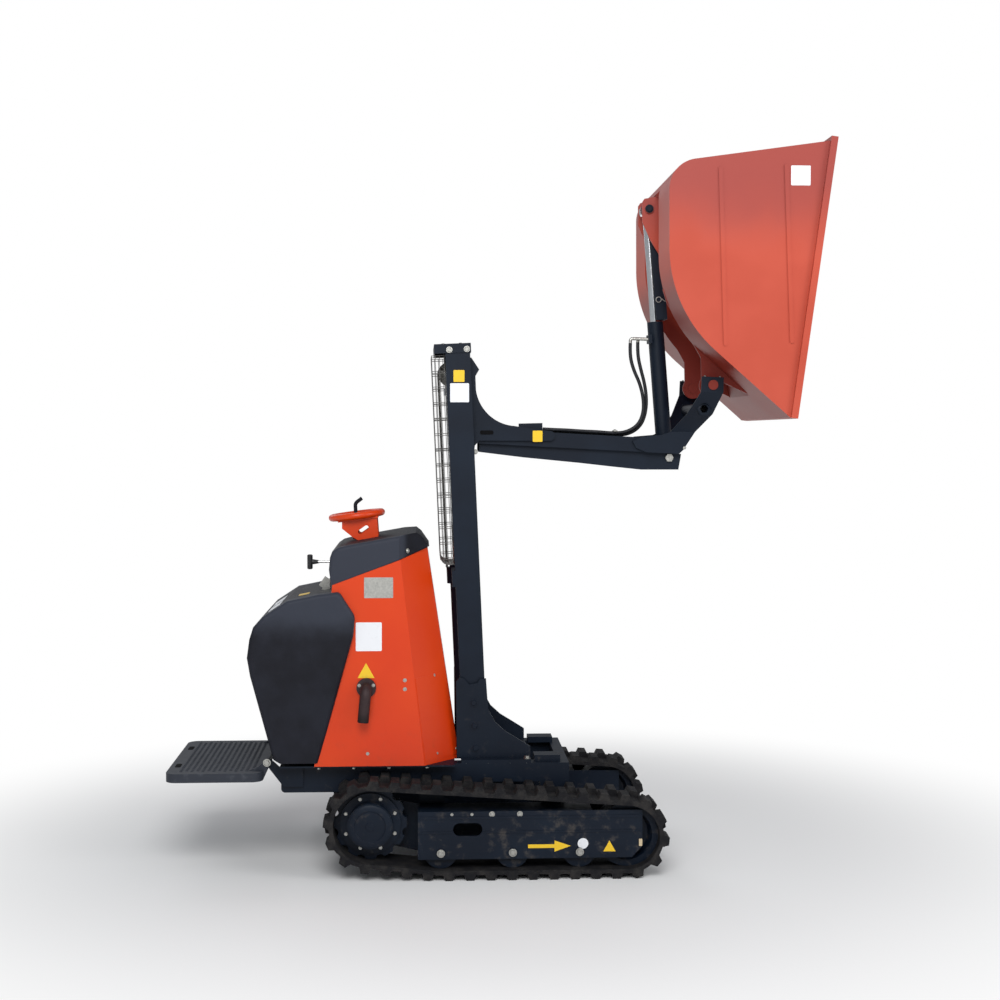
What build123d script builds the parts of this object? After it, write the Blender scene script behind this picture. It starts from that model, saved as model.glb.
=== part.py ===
"""Tracked high-lift site dumper, shown with its skip raised on the mast and tipped.

Millimetres. X points forward (to the skip), Y to the left, Z up. The origin is on the ground
under the middle of the machine's box. Side outlines are drawn as (x, z) on Plane.XZ.
"""
import os
from math import acos, atan2, cos, degrees, hypot, pi, radians, sin, tan

from build123d import *

os.makedirs("parts", exist_ok=True)

SIDES = (("right", -1), ("left", 1))     # the right side is at -Y
RUN = 0.3                                # running gap between curved faces that meet
FIT = 0.08                               # radial clearance of a pin or rod in its bore
CLEAR = 5                                # least room between bodies that move past each other

# ---------------------------------------------------------------- driving dimensions
LENGTH = 2375            # rear edge of the step to the front of the tipped skip's rim
TRACKS_WIDTH = 860       # over the outer edges of the two belts
BELT_WIDTH = 180
BELT_LINKS = 36
CARCASS = 15             # belt without its lugs
LUG = 20                 # tread lug height
SPROCKET_X, SPROCKET_Z, SPROCKET_R = -455, 193, 130     # R is the belt's inner face
IDLER_X, IDLER_R = 459, 113
ROLLER_R = 60
ROLLER_XS = (-205, 50, 288)
FRAME_INSET = 20         # belt's outer edge to the outer face of the track frame's side plate
FRAME_PLATE = 6
FRAME_REAR_X, FRAME_FRONT_X = -286, 512
FRAME_LOW_Z, FRAME_TOP_Z = 72, 242

CHASSIS_TOP_Z = 380
CHASSIS_HALF = 244       # outer face of the long members
MEMBER_W, MEMBER_H = 60, 68
MEMBER_REAR_X, MEMBER_FRONT_X = -495, 265
DECK_T = 6
DECK_HALF = 300
DECK_FRONT_X = -152

REAR_BOX_X = (-780, -495)
REAR_BOX_Z = 280
REAR_BOX_HALF = 244

HOOD_BOTTOM_HALF, HOOD_TOP_HALF = 306, 272
SHEET = 3                # pressed steel panels
MOULDED = 5              # rotomoulded covers

RAKE = 2.5               # degrees that the mast leans back
MAST_X = -73             # centre of the rails at the deck
MAST_HALF = 178          # outer face of the rails
RAIL_DEPTH = 90
RAIL_WEB, RAIL_FLANGE, RAIL_WIDE = 10, 10, 42
MAST_TOP = 1520          # rail length, along the mast
GUSSET_T = 12

LIFT_TRAVEL = 1000
BOOM_DROP = 3.0          # degrees that the boom slopes down to the front
ARM_OUT_Y, ARM_T = 130, 12
BEAM_W, BEAM_H, BEAM_WALL = 54, 54, 6
CHANNEL_HALF, CHANNEL_T = 100, 6

PIVOT = (786, 1755)      # skip pivot, x and z
ROD_EYE = (577, 2414)    # tip cylinder's eye on the skip
BASE_EYE = (650, 1489)   # tip cylinder's pin in the boom
PIVOT_R, EYE_PIN_R = 18, 12
KNUCKLE_OUT_Y = 252      # outer face of the knuckle plates at the skip pivot
TIP_BACK = 80            # degrees from fully tipped to carrying

SKIP_HALF = 435          # outer face of the side panels
SKIP_WALL = 5
RIM_DEEP, RIM_OUT = 24, 15
RIB_Y, RIB_T = 185, 10   # centre plane and thickness of the two belly ribs

PLATFORM_HALF = 315
PLATFORM_TOP_Z = 366
PLATFORM_LIP = 32


def finish(piece, name):
    """Label a finished piece and write it as its own STEP file."""
    piece.part.label = name
    export_step(piece.part, f"parts/{name}.step")


def at_y(y):
    """The side plane at a given Y; sketches on it are drawn as (x, z)."""
    return Plane.XZ.offset(-y)


def flat(outline, y):
    """A face on the side plane at y, from a function that draws its outline."""
    with BuildSketch(at_y(y)) as face:
        with BuildLine():
            outline()
        make_face()
    return face.sketch


# ---------------------------------------------------------------- tracks
belt_in_z = CARCASS + LUG                # inner face of the bottom run
roller_z = belt_in_z + ROLLER_R
idler_z = belt_in_z + IDLER_R
track_mid_y = (TRACKS_WIDTH - BELT_WIDTH) / 2
FRAME_OUT_Y = TRACKS_WIDTH / 2 - FRAME_INSET
# wheels that the belt runs round, counter-clockwise from the rear bottom roller: x, z, radius
WHEELS = (
    (ROLLER_XS[0], roller_z, ROLLER_R),
    (IDLER_X, idler_z, IDLER_R),
    (SPROCKET_X, SPROCKET_Z, SPROCKET_R),
)


def belt_spans(grow):
    """The loop at a height above the belt's inner face, as (start, end, centre or None)."""
    normals = []
    for (ax, az, ar), (bx, bz, br) in zip(WHEELS, WHEELS[1:] + WHEELS[:1]):
        normals.append(atan2(bz - az, bx - ax) - acos((ar - br) / hypot(bx - ax, bz - az)))
    spans = []
    for i, (x, z, r) in enumerate(WHEELS):
        arrive, leave = normals[i - 1], normals[i]
        while leave < arrive:
            leave += 2 * pi
        spans.append(("arc", x, z, r + grow, arrive, leave))
        nx, nz, nr = WHEELS[(i + 1) % len(WHEELS)]
        spans.append(("run", x + (r + grow) * cos(leave), z + (r + grow) * sin(leave),
                      nx + (nr + grow) * cos(leave), nz + (nr + grow) * sin(leave), leave))
    return spans


def draw_belt(grow):
    for span in belt_spans(grow):
        if span[0] == "run":
            Line((span[1], span[2]), (span[3], span[4]))
        else:
            _, x, z, r, start, end = span
            points = [(x + r * cos(a), z + r * sin(a)) for a in (start, (start + end) / 2, end)]
            ThreePointArc(*points)


def along_belt(grow, count, shift):
    """Evenly spaced places along the loop, as (x, z, outward angle), shifted by a share of the pitch."""
    spans = belt_spans(grow)
    lengths = [hypot(s[3] - s[1], s[4] - s[2]) if s[0] == "run" else s[3] * (s[5] - s[4])
               for s in spans]
    step = sum(lengths) / count
    places = []
    for k in range(count):
        left = (k + shift) * step
        for span, length in zip(spans, lengths):
            if left <= length:
                break
            left -= length
        if span[0] == "run":
            share = left / length
            places.append((span[1] + share * (span[3] - span[1]),
                           span[2] + share * (span[4] - span[2]), span[5]))
        else:
            _, x, z, r, start, end = span
            angle = start + left / r
            places.append((x + r * cos(angle), z + r * sin(angle), angle))
    return places


LUG_BASE, LUG_FLANK, LUG_ROOT = 44, 68, 1.5
# two rows of lugs, half a pitch apart: which way each reaches from the belt's middle, and its shift
LUG_ROWS = ((-1, 0), (1, 0.5))
for side_name, side in SIDES:
    with BuildPart() as track:
        with BuildSketch(at_y(side * track_mid_y)):
            with BuildLine():
                draw_belt(CARCASS)
            make_face()
            with BuildLine():
                draw_belt(0)
            make_face(mode=Mode.SUBTRACT)
        extrude(amount=BELT_WIDTH / 2, both=True)
        for reach, shift in LUG_ROWS:
            with BuildSketch(at_y(side * track_mid_y)):
                for x, z, angle in along_belt(CARCASS - LUG_ROOT, BELT_LINKS, shift):
                    with Locations(Location((x, z, 0), (0, 0, degrees(angle) - 90))):
                        Trapezoid(LUG_BASE, LUG + LUG_ROOT, LUG_FLANK, align=(Align.CENTER, Align.MIN))
            extrude(amount=-side * reach * BELT_WIDTH / 2)
        split(bisect_by=Plane.XY, keep=Keep.TOP)     # the lugs under a roller stand flat on the ground
    finish(track, f"track_{side_name}")

FRAME_IN_Y = 2 * track_mid_y - FRAME_OUT_Y        # inner plate, same distance from the belt's middle
IDLER_SLOT_X = IDLER_X - IDLER_R - 12
HUB_R = 84
AXLE_R = 14


def frame_side():
    Polyline((FRAME_REAR_X, FRAME_LOW_Z), (FRAME_FRONT_X - 38, FRAME_LOW_Z),
             (FRAME_FRONT_X, FRAME_LOW_Z + 40), (FRAME_FRONT_X, FRAME_TOP_Z),
             (FRAME_REAR_X, FRAME_TOP_Z), close=True)


def motor_side():
    """Inner plate: runs back to the drive motor."""
    Polyline((FRAME_REAR_X, FRAME_LOW_Z), (FRAME_FRONT_X - 38, FRAME_LOW_Z),
             (FRAME_FRONT_X, FRAME_LOW_Z + 40), (FRAME_FRONT_X, FRAME_TOP_Z),
             (FRAME_REAR_X, FRAME_TOP_Z), (SPROCKET_X, SPROCKET_Z + HUB_R))
    ThreePointArc((SPROCKET_X, SPROCKET_Z + HUB_R), (SPROCKET_X - HUB_R, SPROCKET_Z),
                  (SPROCKET_X, SPROCKET_Z - HUB_R))
    Line((SPROCKET_X, SPROCKET_Z - HUB_R), (FRAME_REAR_X, FRAME_LOW_Z))


for side_name, side in SIDES:
    with BuildPart() as frame:
        extrude(flat(frame_side, side * FRAME_OUT_Y), amount=side * FRAME_PLATE)
        extrude(flat(motor_side, side * FRAME_IN_Y), amount=-side * FRAME_PLATE)
        roof_x = (FRAME_REAR_X + IDLER_SLOT_X) / 2
        with Locations((roof_x, side * track_mid_y, FRAME_TOP_Z)):
            Box(IDLER_SLOT_X - FRAME_REAR_X, FRAME_OUT_Y - FRAME_IN_Y - 2 * FRAME_PLATE, FRAME_PLATE,
                align=(Align.CENTER, Align.CENTER, Align.MAX))
        # long slot through the outer plate, and the bores for the roller and idler axles
        with BuildSketch(at_y(side * FRAME_OUT_Y)):
            with Locations((-110, 178)):
                SlotOverall(104, 46)
        extrude(amount=2 * FRAME_PLATE, both=True, mode=Mode.SUBTRACT)
        with BuildSketch(at_y(side * track_mid_y)):
            with Locations(*[(x, roller_z) for x in ROLLER_XS], (IDLER_X, idler_z)):
                Circle(AXLE_R)
        extrude(amount=BELT_WIDTH / 2, both=True, mode=Mode.SUBTRACT)
    finish(frame, f"track_frame_{side_name}")

    # bottom rollers: twin treads with a groove for the belt's guide lugs, on a fixed axle
    with BuildPart() as rollers:
        for x in ROLLER_XS:
            with BuildSketch(Plane(origin=(x, side * track_mid_y, roller_z), x_dir=(0, 1, 0), z_dir=(1, 0, 0))):
                with BuildLine():
                    Polyline((-52, 0), (-52, ROLLER_R - RUN), (-22, ROLLER_R - RUN), (-18, ROLLER_R - 16),
                             (18, ROLLER_R - 16), (22, ROLLER_R - RUN), (52, ROLLER_R - RUN), (52, 0), close=True)
                make_face()
            revolve(axis=Axis((x, side * track_mid_y, roller_z), (0, 1, 0)))
            with BuildSketch(at_y(side * track_mid_y)):
                with Locations((x, roller_z)):
                    Circle(AXLE_R)
            extrude(amount=FRAME_OUT_Y - track_mid_y + 6, both=True)
    finish(rollers, f"rollers_{side_name}")

    with BuildPart() as idler:
        with BuildSketch(Plane(origin=(IDLER_X, side * track_mid_y, idler_z), x_dir=(0, 1, 0), z_dir=(1, 0, 0))):
            with BuildLine():
                Polyline((-46, 0), (-46, 34), (-12, 40), (-12, IDLER_R - 34), (-46, IDLER_R - 22),
                         (-46, IDLER_R - RUN), (46, IDLER_R - RUN), (46, IDLER_R - 22), (12, IDLER_R - 34),
                         (12, 40), (46, 34), (46, 0), close=True)
            make_face()
        revolve(axis=Axis((IDLER_X, side * track_mid_y, idler_z), (0, 1, 0)))
        with BuildSketch(at_y(side * track_mid_y)):
            with Locations((IDLER_X, idler_z)):
                Circle(AXLE_R)
        extrude(amount=FRAME_OUT_Y - track_mid_y, both=True)
    finish(idler, f"idler_{side_name}")

    # toothed ring on its hub, and the motor's round cover with a bolt circle
    TEETH = 12
    hub_in_y = FRAME_IN_Y + FRAME_PLATE
    with BuildPart() as sprocket:
        with BuildSketch(at_y(side * track_mid_y)):
            with Locations((SPROCKET_X, SPROCKET_Z)):
                Circle(SPROCKET_R - RUN)
                with PolarLocations(SPROCKET_R + 5, TEETH, start_angle=360 / TEETH / 2):
                    Circle(17, mode=Mode.SUBTRACT)
        extrude(amount=14, both=True)
        with BuildSketch(at_y(side * hub_in_y)):
            with Locations((SPROCKET_X, SPROCKET_Z)):
                Circle(HUB_R - 4)
        extrude(amount=-side * 138)
        with BuildSketch(at_y(side * (hub_in_y + 60))):
            with Locations((SPROCKET_X, SPROCKET_Z)):
                Circle(108)
        extrude(amount=-side * 30)
    finish(sprocket, f"sprocket_{side_name}")

# ---------------------------------------------------------------- chassis
CROSS_XS = (-235, 205)                   # the two cross beams that carry the track frames
CROSS_W, CROSS_LOW_Z, CROSS_HIGH_Z = 90, 140, 236
BOX_WALL = 6
BASE_T = 12                              # mast foot plate
FOOT_X = (-128, 127)
REST_X, REST_LONG, REST_H = 140, 95, 22  # rests that the lowered boom stands on

with BuildPart() as chassis:
    member_x = (MEMBER_REAR_X + MEMBER_FRONT_X) / 2
    member_y = CHASSIS_HALF - MEMBER_W / 2
    member_z = CHASSIS_TOP_Z - MEMBER_H / 2
    with Locations((member_x, member_y, member_z), (member_x, -member_y, member_z)):
        Box(MEMBER_FRONT_X - MEMBER_REAR_X, MEMBER_W, MEMBER_H)
        Box(MEMBER_FRONT_X - MEMBER_REAR_X, MEMBER_W - 2 * BOX_WALL, MEMBER_H - 2 * BOX_WALL,
            mode=Mode.SUBTRACT)
    for side_name, side in SIDES:
        with Locations((REST_X, side * (CHASSIS_HALF - MEMBER_W - 5), CHASSIS_TOP_Z)):
            Box(REST_LONG, 70, REST_H, align=(Align.MIN, Align.CENTER, Align.MIN))
finish(chassis, "chassis")

# ties bolted between the long members
with BuildPart() as cross_members:
    for x in (MEMBER_REAR_X + 20, CROSS_XS[0], MEMBER_FRONT_X - 20):
        with Locations((x, 0, member_z)):
            Box(40, 2 * (CHASSIS_HALF - MEMBER_W), MEMBER_H)
finish(cross_members, "cross_members")

with BuildPart() as deck_plate:
    with Locations((REAR_BOX_X[0], 0, CHASSIS_TOP_Z)):
        Box(DECK_FRONT_X - REAR_BOX_X[0], 2 * DECK_HALF, DECK_T, align=(Align.MIN, Align.CENTER, Align.MIN))
finish(deck_plate, "deck_plate")

# the beams that carry the track frames, with posts bolted up to the long members
with BuildPart() as cross_beams:
    for x in CROSS_XS:
        with Locations((x, 0, CROSS_LOW_Z)):
            Box(CROSS_W, 2 * FRAME_IN_Y, CROSS_HIGH_Z - CROSS_LOW_Z,
                align=(Align.CENTER, Align.CENTER, Align.MIN))
        with Locations((x, 0, CROSS_LOW_Z + BOX_WALL)):
            Box(CROSS_W - 2 * BOX_WALL, 2 * FRAME_IN_Y, CROSS_HIGH_Z - CROSS_LOW_Z - 2 * BOX_WALL,
                align=(Align.CENTER, Align.CENTER, Align.MIN), mode=Mode.SUBTRACT)
        with Locations((x, member_y, CROSS_HIGH_Z), (x, -member_y, CROSS_HIGH_Z)):
            Box(CROSS_W, MEMBER_W, CHASSIS_TOP_Z - MEMBER_H - CROSS_HIGH_Z,
                align=(Align.CENTER, Align.CENTER, Align.MIN))
finish(cross_beams, "cross_beams")


def rear_box_side(inset):
    x0, x1 = REAR_BOX_X[0] + inset, REAR_BOX_X[1] - inset
    FilletPolyline((x0, CHASSIS_TOP_Z), (x0, REAR_BOX_Z + inset), (x1, REAR_BOX_Z + inset),
                   (x1, CHASSIS_TOP_Z), radius=14 - inset)
    Line((x1, CHASSIS_TOP_Z), (x0, CHASSIS_TOP_Z))


with BuildPart() as rear_box:
    extrude(flat(lambda: rear_box_side(0), 0), amount=REAR_BOX_HALF, both=True)
    extrude(flat(lambda: rear_box_side(4), 0), amount=REAR_BOX_HALF - 4, both=True, mode=Mode.SUBTRACT)
finish(rear_box, "rear_box")

# ---------------------------------------------------------------- mast
rake = radians(RAKE)
# along the mast: local x forward, local y to the left, local z up the rails
MAST = Plane(origin=(MAST_X, 0, CHASSIS_TOP_Z), x_dir=(cos(rake), 0, sin(rake)),
             z_dir=(-sin(rake), 0, cos(rake)))
RAIL_FOOT = BASE_T + 4                   # the raked rails start just above the foot plate


def up_mast(height):
    """The plane across the mast at a height along it."""
    return MAST.offset(height)


def mast_point(x, height):
    """World x and z of a place on the mast's centre plane."""
    return (MAST_X + x * cos(rake) - height * sin(rake), CHASSIS_TOP_Z + x * sin(rake) + height * cos(rake))


RAM_X = -27                              # lift ram's axis, behind the middle of the rails
RAM_R, RAM_BORE, RAM_ROD_R = 35, 28, 20
RAM_FOOT, RAM_TOP = BASE_T + 4, 708
RAM_STROKE = LIFT_TRAVEL / 2             # the chain doubles the ram's stroke
COLLAR_LOW, COLLAR_HIGH = 640, 700
TIE_T = 12
PULLEY_UP = 1421                         # pulley's axle along the mast, ram extended
CHAIN_R, CHAIN_T, CHAIN_W = 45, 8, 18    # R is the chain's middle on the pulley

with BuildPart() as mast_rails:
    for side_name, side in SIDES:
        with BuildSketch(up_mast(RAIL_FOOT)):
            with Locations((0, side * (MAST_HALF - RAIL_WIDE / 2))):
                Rectangle(RAIL_DEPTH, RAIL_WIDE)
            with Locations((0, side * (MAST_HALF - (RAIL_WIDE + RAIL_WEB) / 2))):
                Rectangle(RAIL_DEPTH - 2 * RAIL_FLANGE, RAIL_WIDE - RAIL_WEB, mode=Mode.SUBTRACT)
        extrude(amount=MAST_TOP - RAIL_FOOT)
    # rear tie with the collar that steadies the ram and anchors the chain
    with BuildSketch(up_mast(COLLAR_LOW)):
        with Locations((-RAIL_DEPTH / 2 - TIE_T / 2 + 1, 0)):
            Rectangle(TIE_T + 2, 2 * MAST_HALF)
        with Locations((RAM_X, 0)):
            Circle(RAM_R + 12)
            Circle(RAM_R + RUN, mode=Mode.SUBTRACT)
        Rectangle(80, 200, align=(Align.MIN, Align.CENTER), mode=Mode.SUBTRACT)
    extrude(amount=COLLAR_HIGH - COLLAR_LOW)
    # lower tie, under the ram's collar
    with BuildSketch(up_mast(RAIL_FOOT + 60)):
        with Locations((-RAIL_DEPTH / 2 - TIE_T / 2 + 1, 0)):
            Rectangle(TIE_T + 2, 2 * MAST_HALF)
        with Locations((RAM_X, 0)):
            Circle(RAM_R + RUN, mode=Mode.SUBTRACT)
    extrude(amount=50)
finish(mast_rails, "mast_rails")


def gusset_side():
    Polyline((-143, CHASSIS_TOP_Z + BASE_T), (-146, 671), (-131, 687), (-115, 681), (-99, 660), (-67, 665),
             (-58, 681), (-36, 681), (-28, 567), (-3, 521), (34, 487), (89, 453), (127, 429),
             (127, CHASSIS_TOP_Z + BASE_T), close=True)


with BuildPart() as mast_base:
    with Locations((FOOT_X[0], 0, CHASSIS_TOP_Z)):
        Box(FOOT_X[1] - FOOT_X[0], 2 * CHASSIS_HALF, BASE_T, align=(Align.MIN, Align.CENTER, Align.MIN))
    for side_name, side in SIDES:
        extrude(flat(gusset_side, side * MAST_HALF), amount=-side * GUSSET_T)
finish(mast_base, "mast_base")

CAP_T, CAP_SKIRT = 8, 26
GUARD_X = -97                            # rear face of the guard, along the mast's local x
GUARD_HALF = 150
GUARD_DROP = 28                          # guard's top edge below the top of the rails
GUARD_LOW, GUARD_HIGH = 718, MAST_TOP - GUARD_DROP
WIRE = 5
with BuildPart() as mast_cap:
    with BuildSketch(up_mast(MAST_TOP + RUN)):
        with Locations((-18, 0)):
            Rectangle(134, 2 * MAST_HALF + 8)
    extrude(amount=CAP_T)
    with BuildSketch(up_mast(MAST_TOP + RUN)):
        with Locations((-18, 0)):
            Rectangle(134, 2 * MAST_HALF + 8)
            Rectangle(128, 2 * MAST_HALF + 2 * RUN, mode=Mode.SUBTRACT)
    extrude(amount=-CAP_SKIRT)
finish(mast_cap, "mast_cap")

GUARD_ROWS, GUARD_COLUMNS, GUARD_SIDE_COLUMNS = 14, 10, 2
with BuildPart() as mast_guard:
    guard_mid = (GUARD_LOW + GUARD_HIGH) / 2
    guard_tall = GUARD_HIGH - GUARD_LOW
    row_pitch = guard_tall / GUARD_ROWS
    column_pitch = 2 * GUARD_HALF / GUARD_COLUMNS
    rear = Plane(origin=MAST.from_local_coords((GUARD_X, 0, guard_mid)), x_dir=(0, 1, 0), z_dir=MAST.x_dir)
    with BuildSketch(rear):
        Rectangle(2 * GUARD_HALF, guard_tall)
        with GridLocations(column_pitch, row_pitch, GUARD_COLUMNS, GUARD_ROWS):
            Rectangle(column_pitch - WIRE, row_pitch - WIRE, mode=Mode.SUBTRACT)
    extrude(amount=WIRE)
    side_deep = -RAIL_DEPTH / 2 - GUARD_X
    for side_name, side in SIDES:
        side_mid = (GUARD_X - RAIL_DEPTH / 2) / 2
        with BuildSketch(Plane(origin=MAST.from_local_coords((side_mid, side * GUARD_HALF, guard_mid)),
                               x_dir=MAST.x_dir, z_dir=(0, -side, 0))):
            Rectangle(side_deep, guard_tall)
            side_pitch = side_deep / GUARD_SIDE_COLUMNS
            with GridLocations(side_pitch, row_pitch, GUARD_SIDE_COLUMNS, GUARD_ROWS):
                Rectangle(side_pitch - WIRE, row_pitch - WIRE, mode=Mode.SUBTRACT)
        extrude(amount=WIRE)
finish(mast_guard, "mast_guard")

# lift ram: tube on the foot plate, rod with the chain pulley's fork
with BuildPart() as lift_tube:
    with BuildSketch(up_mast(RAM_FOOT)):
        with Locations((RAM_X, 0)):
            Circle(RAM_R)
    extrude(amount=RAM_TOP - RAM_FOOT)
    with BuildSketch(up_mast(RAM_FOOT + 24)):
        with Locations((RAM_X, 0)):
            Circle(RAM_BORE)
    extrude(amount=RAM_TOP - 30 - RAM_FOOT - 24, mode=Mode.SUBTRACT)
    with BuildSketch(up_mast(RAM_FOOT + 24)):
        with Locations((RAM_X, 0)):
            Circle(RAM_ROD_R + FIT)
    extrude(amount=RAM_TOP, mode=Mode.SUBTRACT)
finish(lift_tube, "lift_tube")

ROD_LOW = RAM_TOP - 90
FORK_IN, FORK_T = 13, 9                  # cheeks beside the pulley
CROWN_LOW = PULLEY_UP - 76
with BuildPart() as lift_rod:
    with BuildSketch(up_mast(ROD_LOW)):
        with Locations((RAM_X, 0)):
            Circle(RAM_ROD_R)
    extrude(amount=CROWN_LOW - ROD_LOW)
    with BuildSketch(up_mast(ROD_LOW)):
        with Locations((RAM_X, 0)):
            Circle(RAM_BORE - FIT)
    extrude(amount=36)
    with BuildSketch(up_mast(CROWN_LOW)):
        with Locations((RAM_X, 0)):
            Rectangle(56, 2 * (FORK_IN + FORK_T))
    extrude(amount=24)
    for side_name, side in SIDES:
        with BuildSketch(Plane(origin=MAST.from_local_coords((RAM_X, side * FORK_IN, PULLEY_UP)),
                               x_dir=MAST.x_dir, z_dir=(0, side, 0))):
            Circle(20)
            Circle(8 + FIT, mode=Mode.SUBTRACT)
        extrude(amount=FORK_T)
        with BuildSketch(up_mast(CROWN_LOW + 24)):
            with Locations((RAM_X, side * (FORK_IN + FORK_T / 2))):
                Rectangle(36, FORK_T)
        extrude(amount=PULLEY_UP - CROWN_LOW - 24 - 14)
finish(lift_rod, "lift_rod")

# leaf chain: fixed to the collar, over the pulley and down to the carriage
CHAIN_MID = MAST.from_local_coords((RAM_X, 0, PULLEY_UP))
CARRIAGE_TOP = 1262                      # top of the carriage's cross plate, along the mast


def across(x, y, height):
    """A side plane of the mast with its origin at a local place."""
    return Plane(origin=MAST.from_local_coords((x, y, height)), x_dir=MAST.x_dir, z_dir=(0, -1, 0))


with BuildPart() as lift_pulley:
    with BuildSketch(Plane(origin=CHAIN_MID, x_dir=(0, 1, 0), z_dir=MAST.x_dir)):
        with BuildLine():
            Polyline((-11.5, 0), (-11.5, CHAIN_R - 1), (-10, CHAIN_R - 1), (-10, CHAIN_R - CHAIN_T / 2 - RUN),
                     (10, CHAIN_R - CHAIN_T / 2 - RUN), (10, CHAIN_R - 1), (11.5, CHAIN_R - 1), (11.5, 0), close=True)
        make_face()
    revolve(axis=Axis(CHAIN_MID, (0, 1, 0)))
    with BuildSketch(across(RAM_X, 0, PULLEY_UP)):
        Circle(8)
    extrude(amount=FORK_IN + FORK_T + 4, both=True)
finish(lift_pulley, "lift_pulley")

CHAIN_RUNS = (
    # name, local x, low end, high end
    ("lift_chain_rear", RAM_X - CHAIN_R, COLLAR_HIGH, PULLEY_UP),
    ("lift_chain_front", RAM_X + CHAIN_R, CARRIAGE_TOP, PULLEY_UP),
)
for name, x, low, high in CHAIN_RUNS:
    with BuildPart() as chain_run:
        with BuildSketch(up_mast(low + RUN)):
            with Locations((x, 0)):
                Rectangle(CHAIN_T, CHAIN_W)
        extrude(amount=high - low - 2 * RUN)
    finish(chain_run, name)

with BuildPart() as lift_chain_top:
    with BuildSketch(across(RAM_X, 0, PULLEY_UP)):
        Circle(CHAIN_R + CHAIN_T / 2)
        Circle(CHAIN_R - CHAIN_T / 2, mode=Mode.SUBTRACT)
        Rectangle(3 * CHAIN_R, 2 * CHAIN_R, align=(Align.CENTER, Align.MAX), mode=Mode.SUBTRACT)
    extrude(amount=CHAIN_W / 2, both=True)
finish(lift_chain_top, "lift_chain_top")

# ---------------------------------------------------------------- engine hood and covers
TAIL_X, TAIL_Z, TAIL_R, TAIL_BORE = -470, 668, 20, 17    # exhaust
TAIL_OUT_Y, TAIL_END_Z = -338, 550
DECK_TOP = CHASSIS_TOP_Z + DECK_T
HOOD_LOW_Z, HOOD_HIGH_Z = DECK_TOP, 1170
HOOD_TOP = Plane(origin=(-592, 0, 1035), x_dir=(cos(radians(20.2)), 0, sin(radians(20.2))),
                 z_dir=(-sin(radians(20.2)), 0, cos(radians(20.2))))
# plan outline of the hood at two heights: rear x, crease x, front x, half width, half width of the front face
HOOD_SECTIONS = (
    (HOOD_LOW_Z, -657, -262.5, -134.6, HOOD_BOTTOM_HALF, 160),
    (HOOD_HIGH_Z, -578, -352.8, -251.4, HOOD_TOP_HALF, 142),
)


def hood_form(inset, rear_reach):
    """The hood's outer form as two plan outlines, moved in by the inset and drawn back by the reach."""
    faces = []
    for z, rear, crease, front, half, nose in HOOD_SECTIONS:
        with BuildSketch(Plane.XY.offset(z)) as plan:
            with BuildLine():
                Polyline((rear - rear_reach, half - inset), (crease - inset * 0.4, half - inset),
                         (front - inset, nose - inset * 0.4), (front - inset, -nose + inset * 0.4),
                         (crease - inset * 0.4, -half + inset), (rear - rear_reach, -half + inset), close=True)
            make_face()
        faces.append(plan.sketch)
    return faces


with BuildPart() as engine_hood:
    loft(sections=hood_form(0, 0), ruled=True)
    loft(sections=hood_form(SHEET, 40), ruled=True, mode=Mode.SUBTRACT)
    split(bisect_by=HOOD_TOP, keep=Keep.BOTTOM)
    with BuildSketch(at_y(-HOOD_TOP_HALF)):
        with Locations((TAIL_X, TAIL_Z)):
            Circle(TAIL_R + 6)
    extrude(amount=60, mode=Mode.SUBTRACT)
finish(engine_hood, "engine_hood")


def cover_side(inset, front):
    """The moulded rear cover's side outline, moved in by the inset and its front edge moved forward."""
    low = 399 + inset
    Polyline((-650, low), (-777 + inset / 2, low), (-804 + inset, 414 + inset),
             (-826 + inset, 497), (-847 + inset, 575), (-884 + inset, 713), (-895 + inset, 778),
             (-886 + inset, 844), (-872 + inset, 888 - inset / 2), (-837 + inset / 2, 926 - inset),
             (-753, 981 - inset), (-649, 1002 - inset))
    FilletPolyline((-649, 1002 - inset), (-566 + front, 1012 - inset), (-510 + front, 925), (-516 + front, 855),
                   (-643 + front, low), radius=(18, 40, 60))
    Line((-643 + front, low), (-650, low))


def cover_top(x):
    """Height of the rear cover's top ahead of its rear slope."""
    return 1002 + (x + 649) * (1012 - 1002) / (649 - 566)


COVER_HALF, COVER_ROUND = 313, 14
COVER_MARGIN = 12                        # flange round its front edge, which lies on the hood
with BuildPart() as rear_cover:
    extrude(flat(lambda: cover_side(0, 0), 0), amount=COVER_HALF, both=True)
    rims = rear_cover.faces().filter_by(Axis.Y).edges()
    fillet(rims.filter_by(lambda e: e.center().Z > 440 and e.center().X < -560), radius=COVER_ROUND)
    extrude(flat(lambda: cover_side(MOULDED, -COVER_MARGIN), 0), amount=COVER_HALF - MOULDED, both=True,
            mode=Mode.SUBTRACT)
    extrude(flat(lambda: cover_side(MOULDED, 60), 0), amount=HOOD_TOP_HALF - 20, both=True, mode=Mode.SUBTRACT)
    loft(sections=hood_form(-RUN, 0), ruled=True, mode=Mode.SUBTRACT)
finish(rear_cover, "rear_cover")


def console_side(inset):
    """Side outline of the moulded console; its floor lies on the hood's sloping top."""
    Polyline((-595 + inset, 1034), (-604 + inset, 1091), (-600 + inset, 1133), (-592 + inset, 1155),
             (-572, 1169 - inset), (-545, 1176 - inset), (-332, 1214 - inset),
             (-290 - inset, 1219 - inset), (-272 - inset, 1206), (-243 - inset, 1166), close=True)


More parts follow.
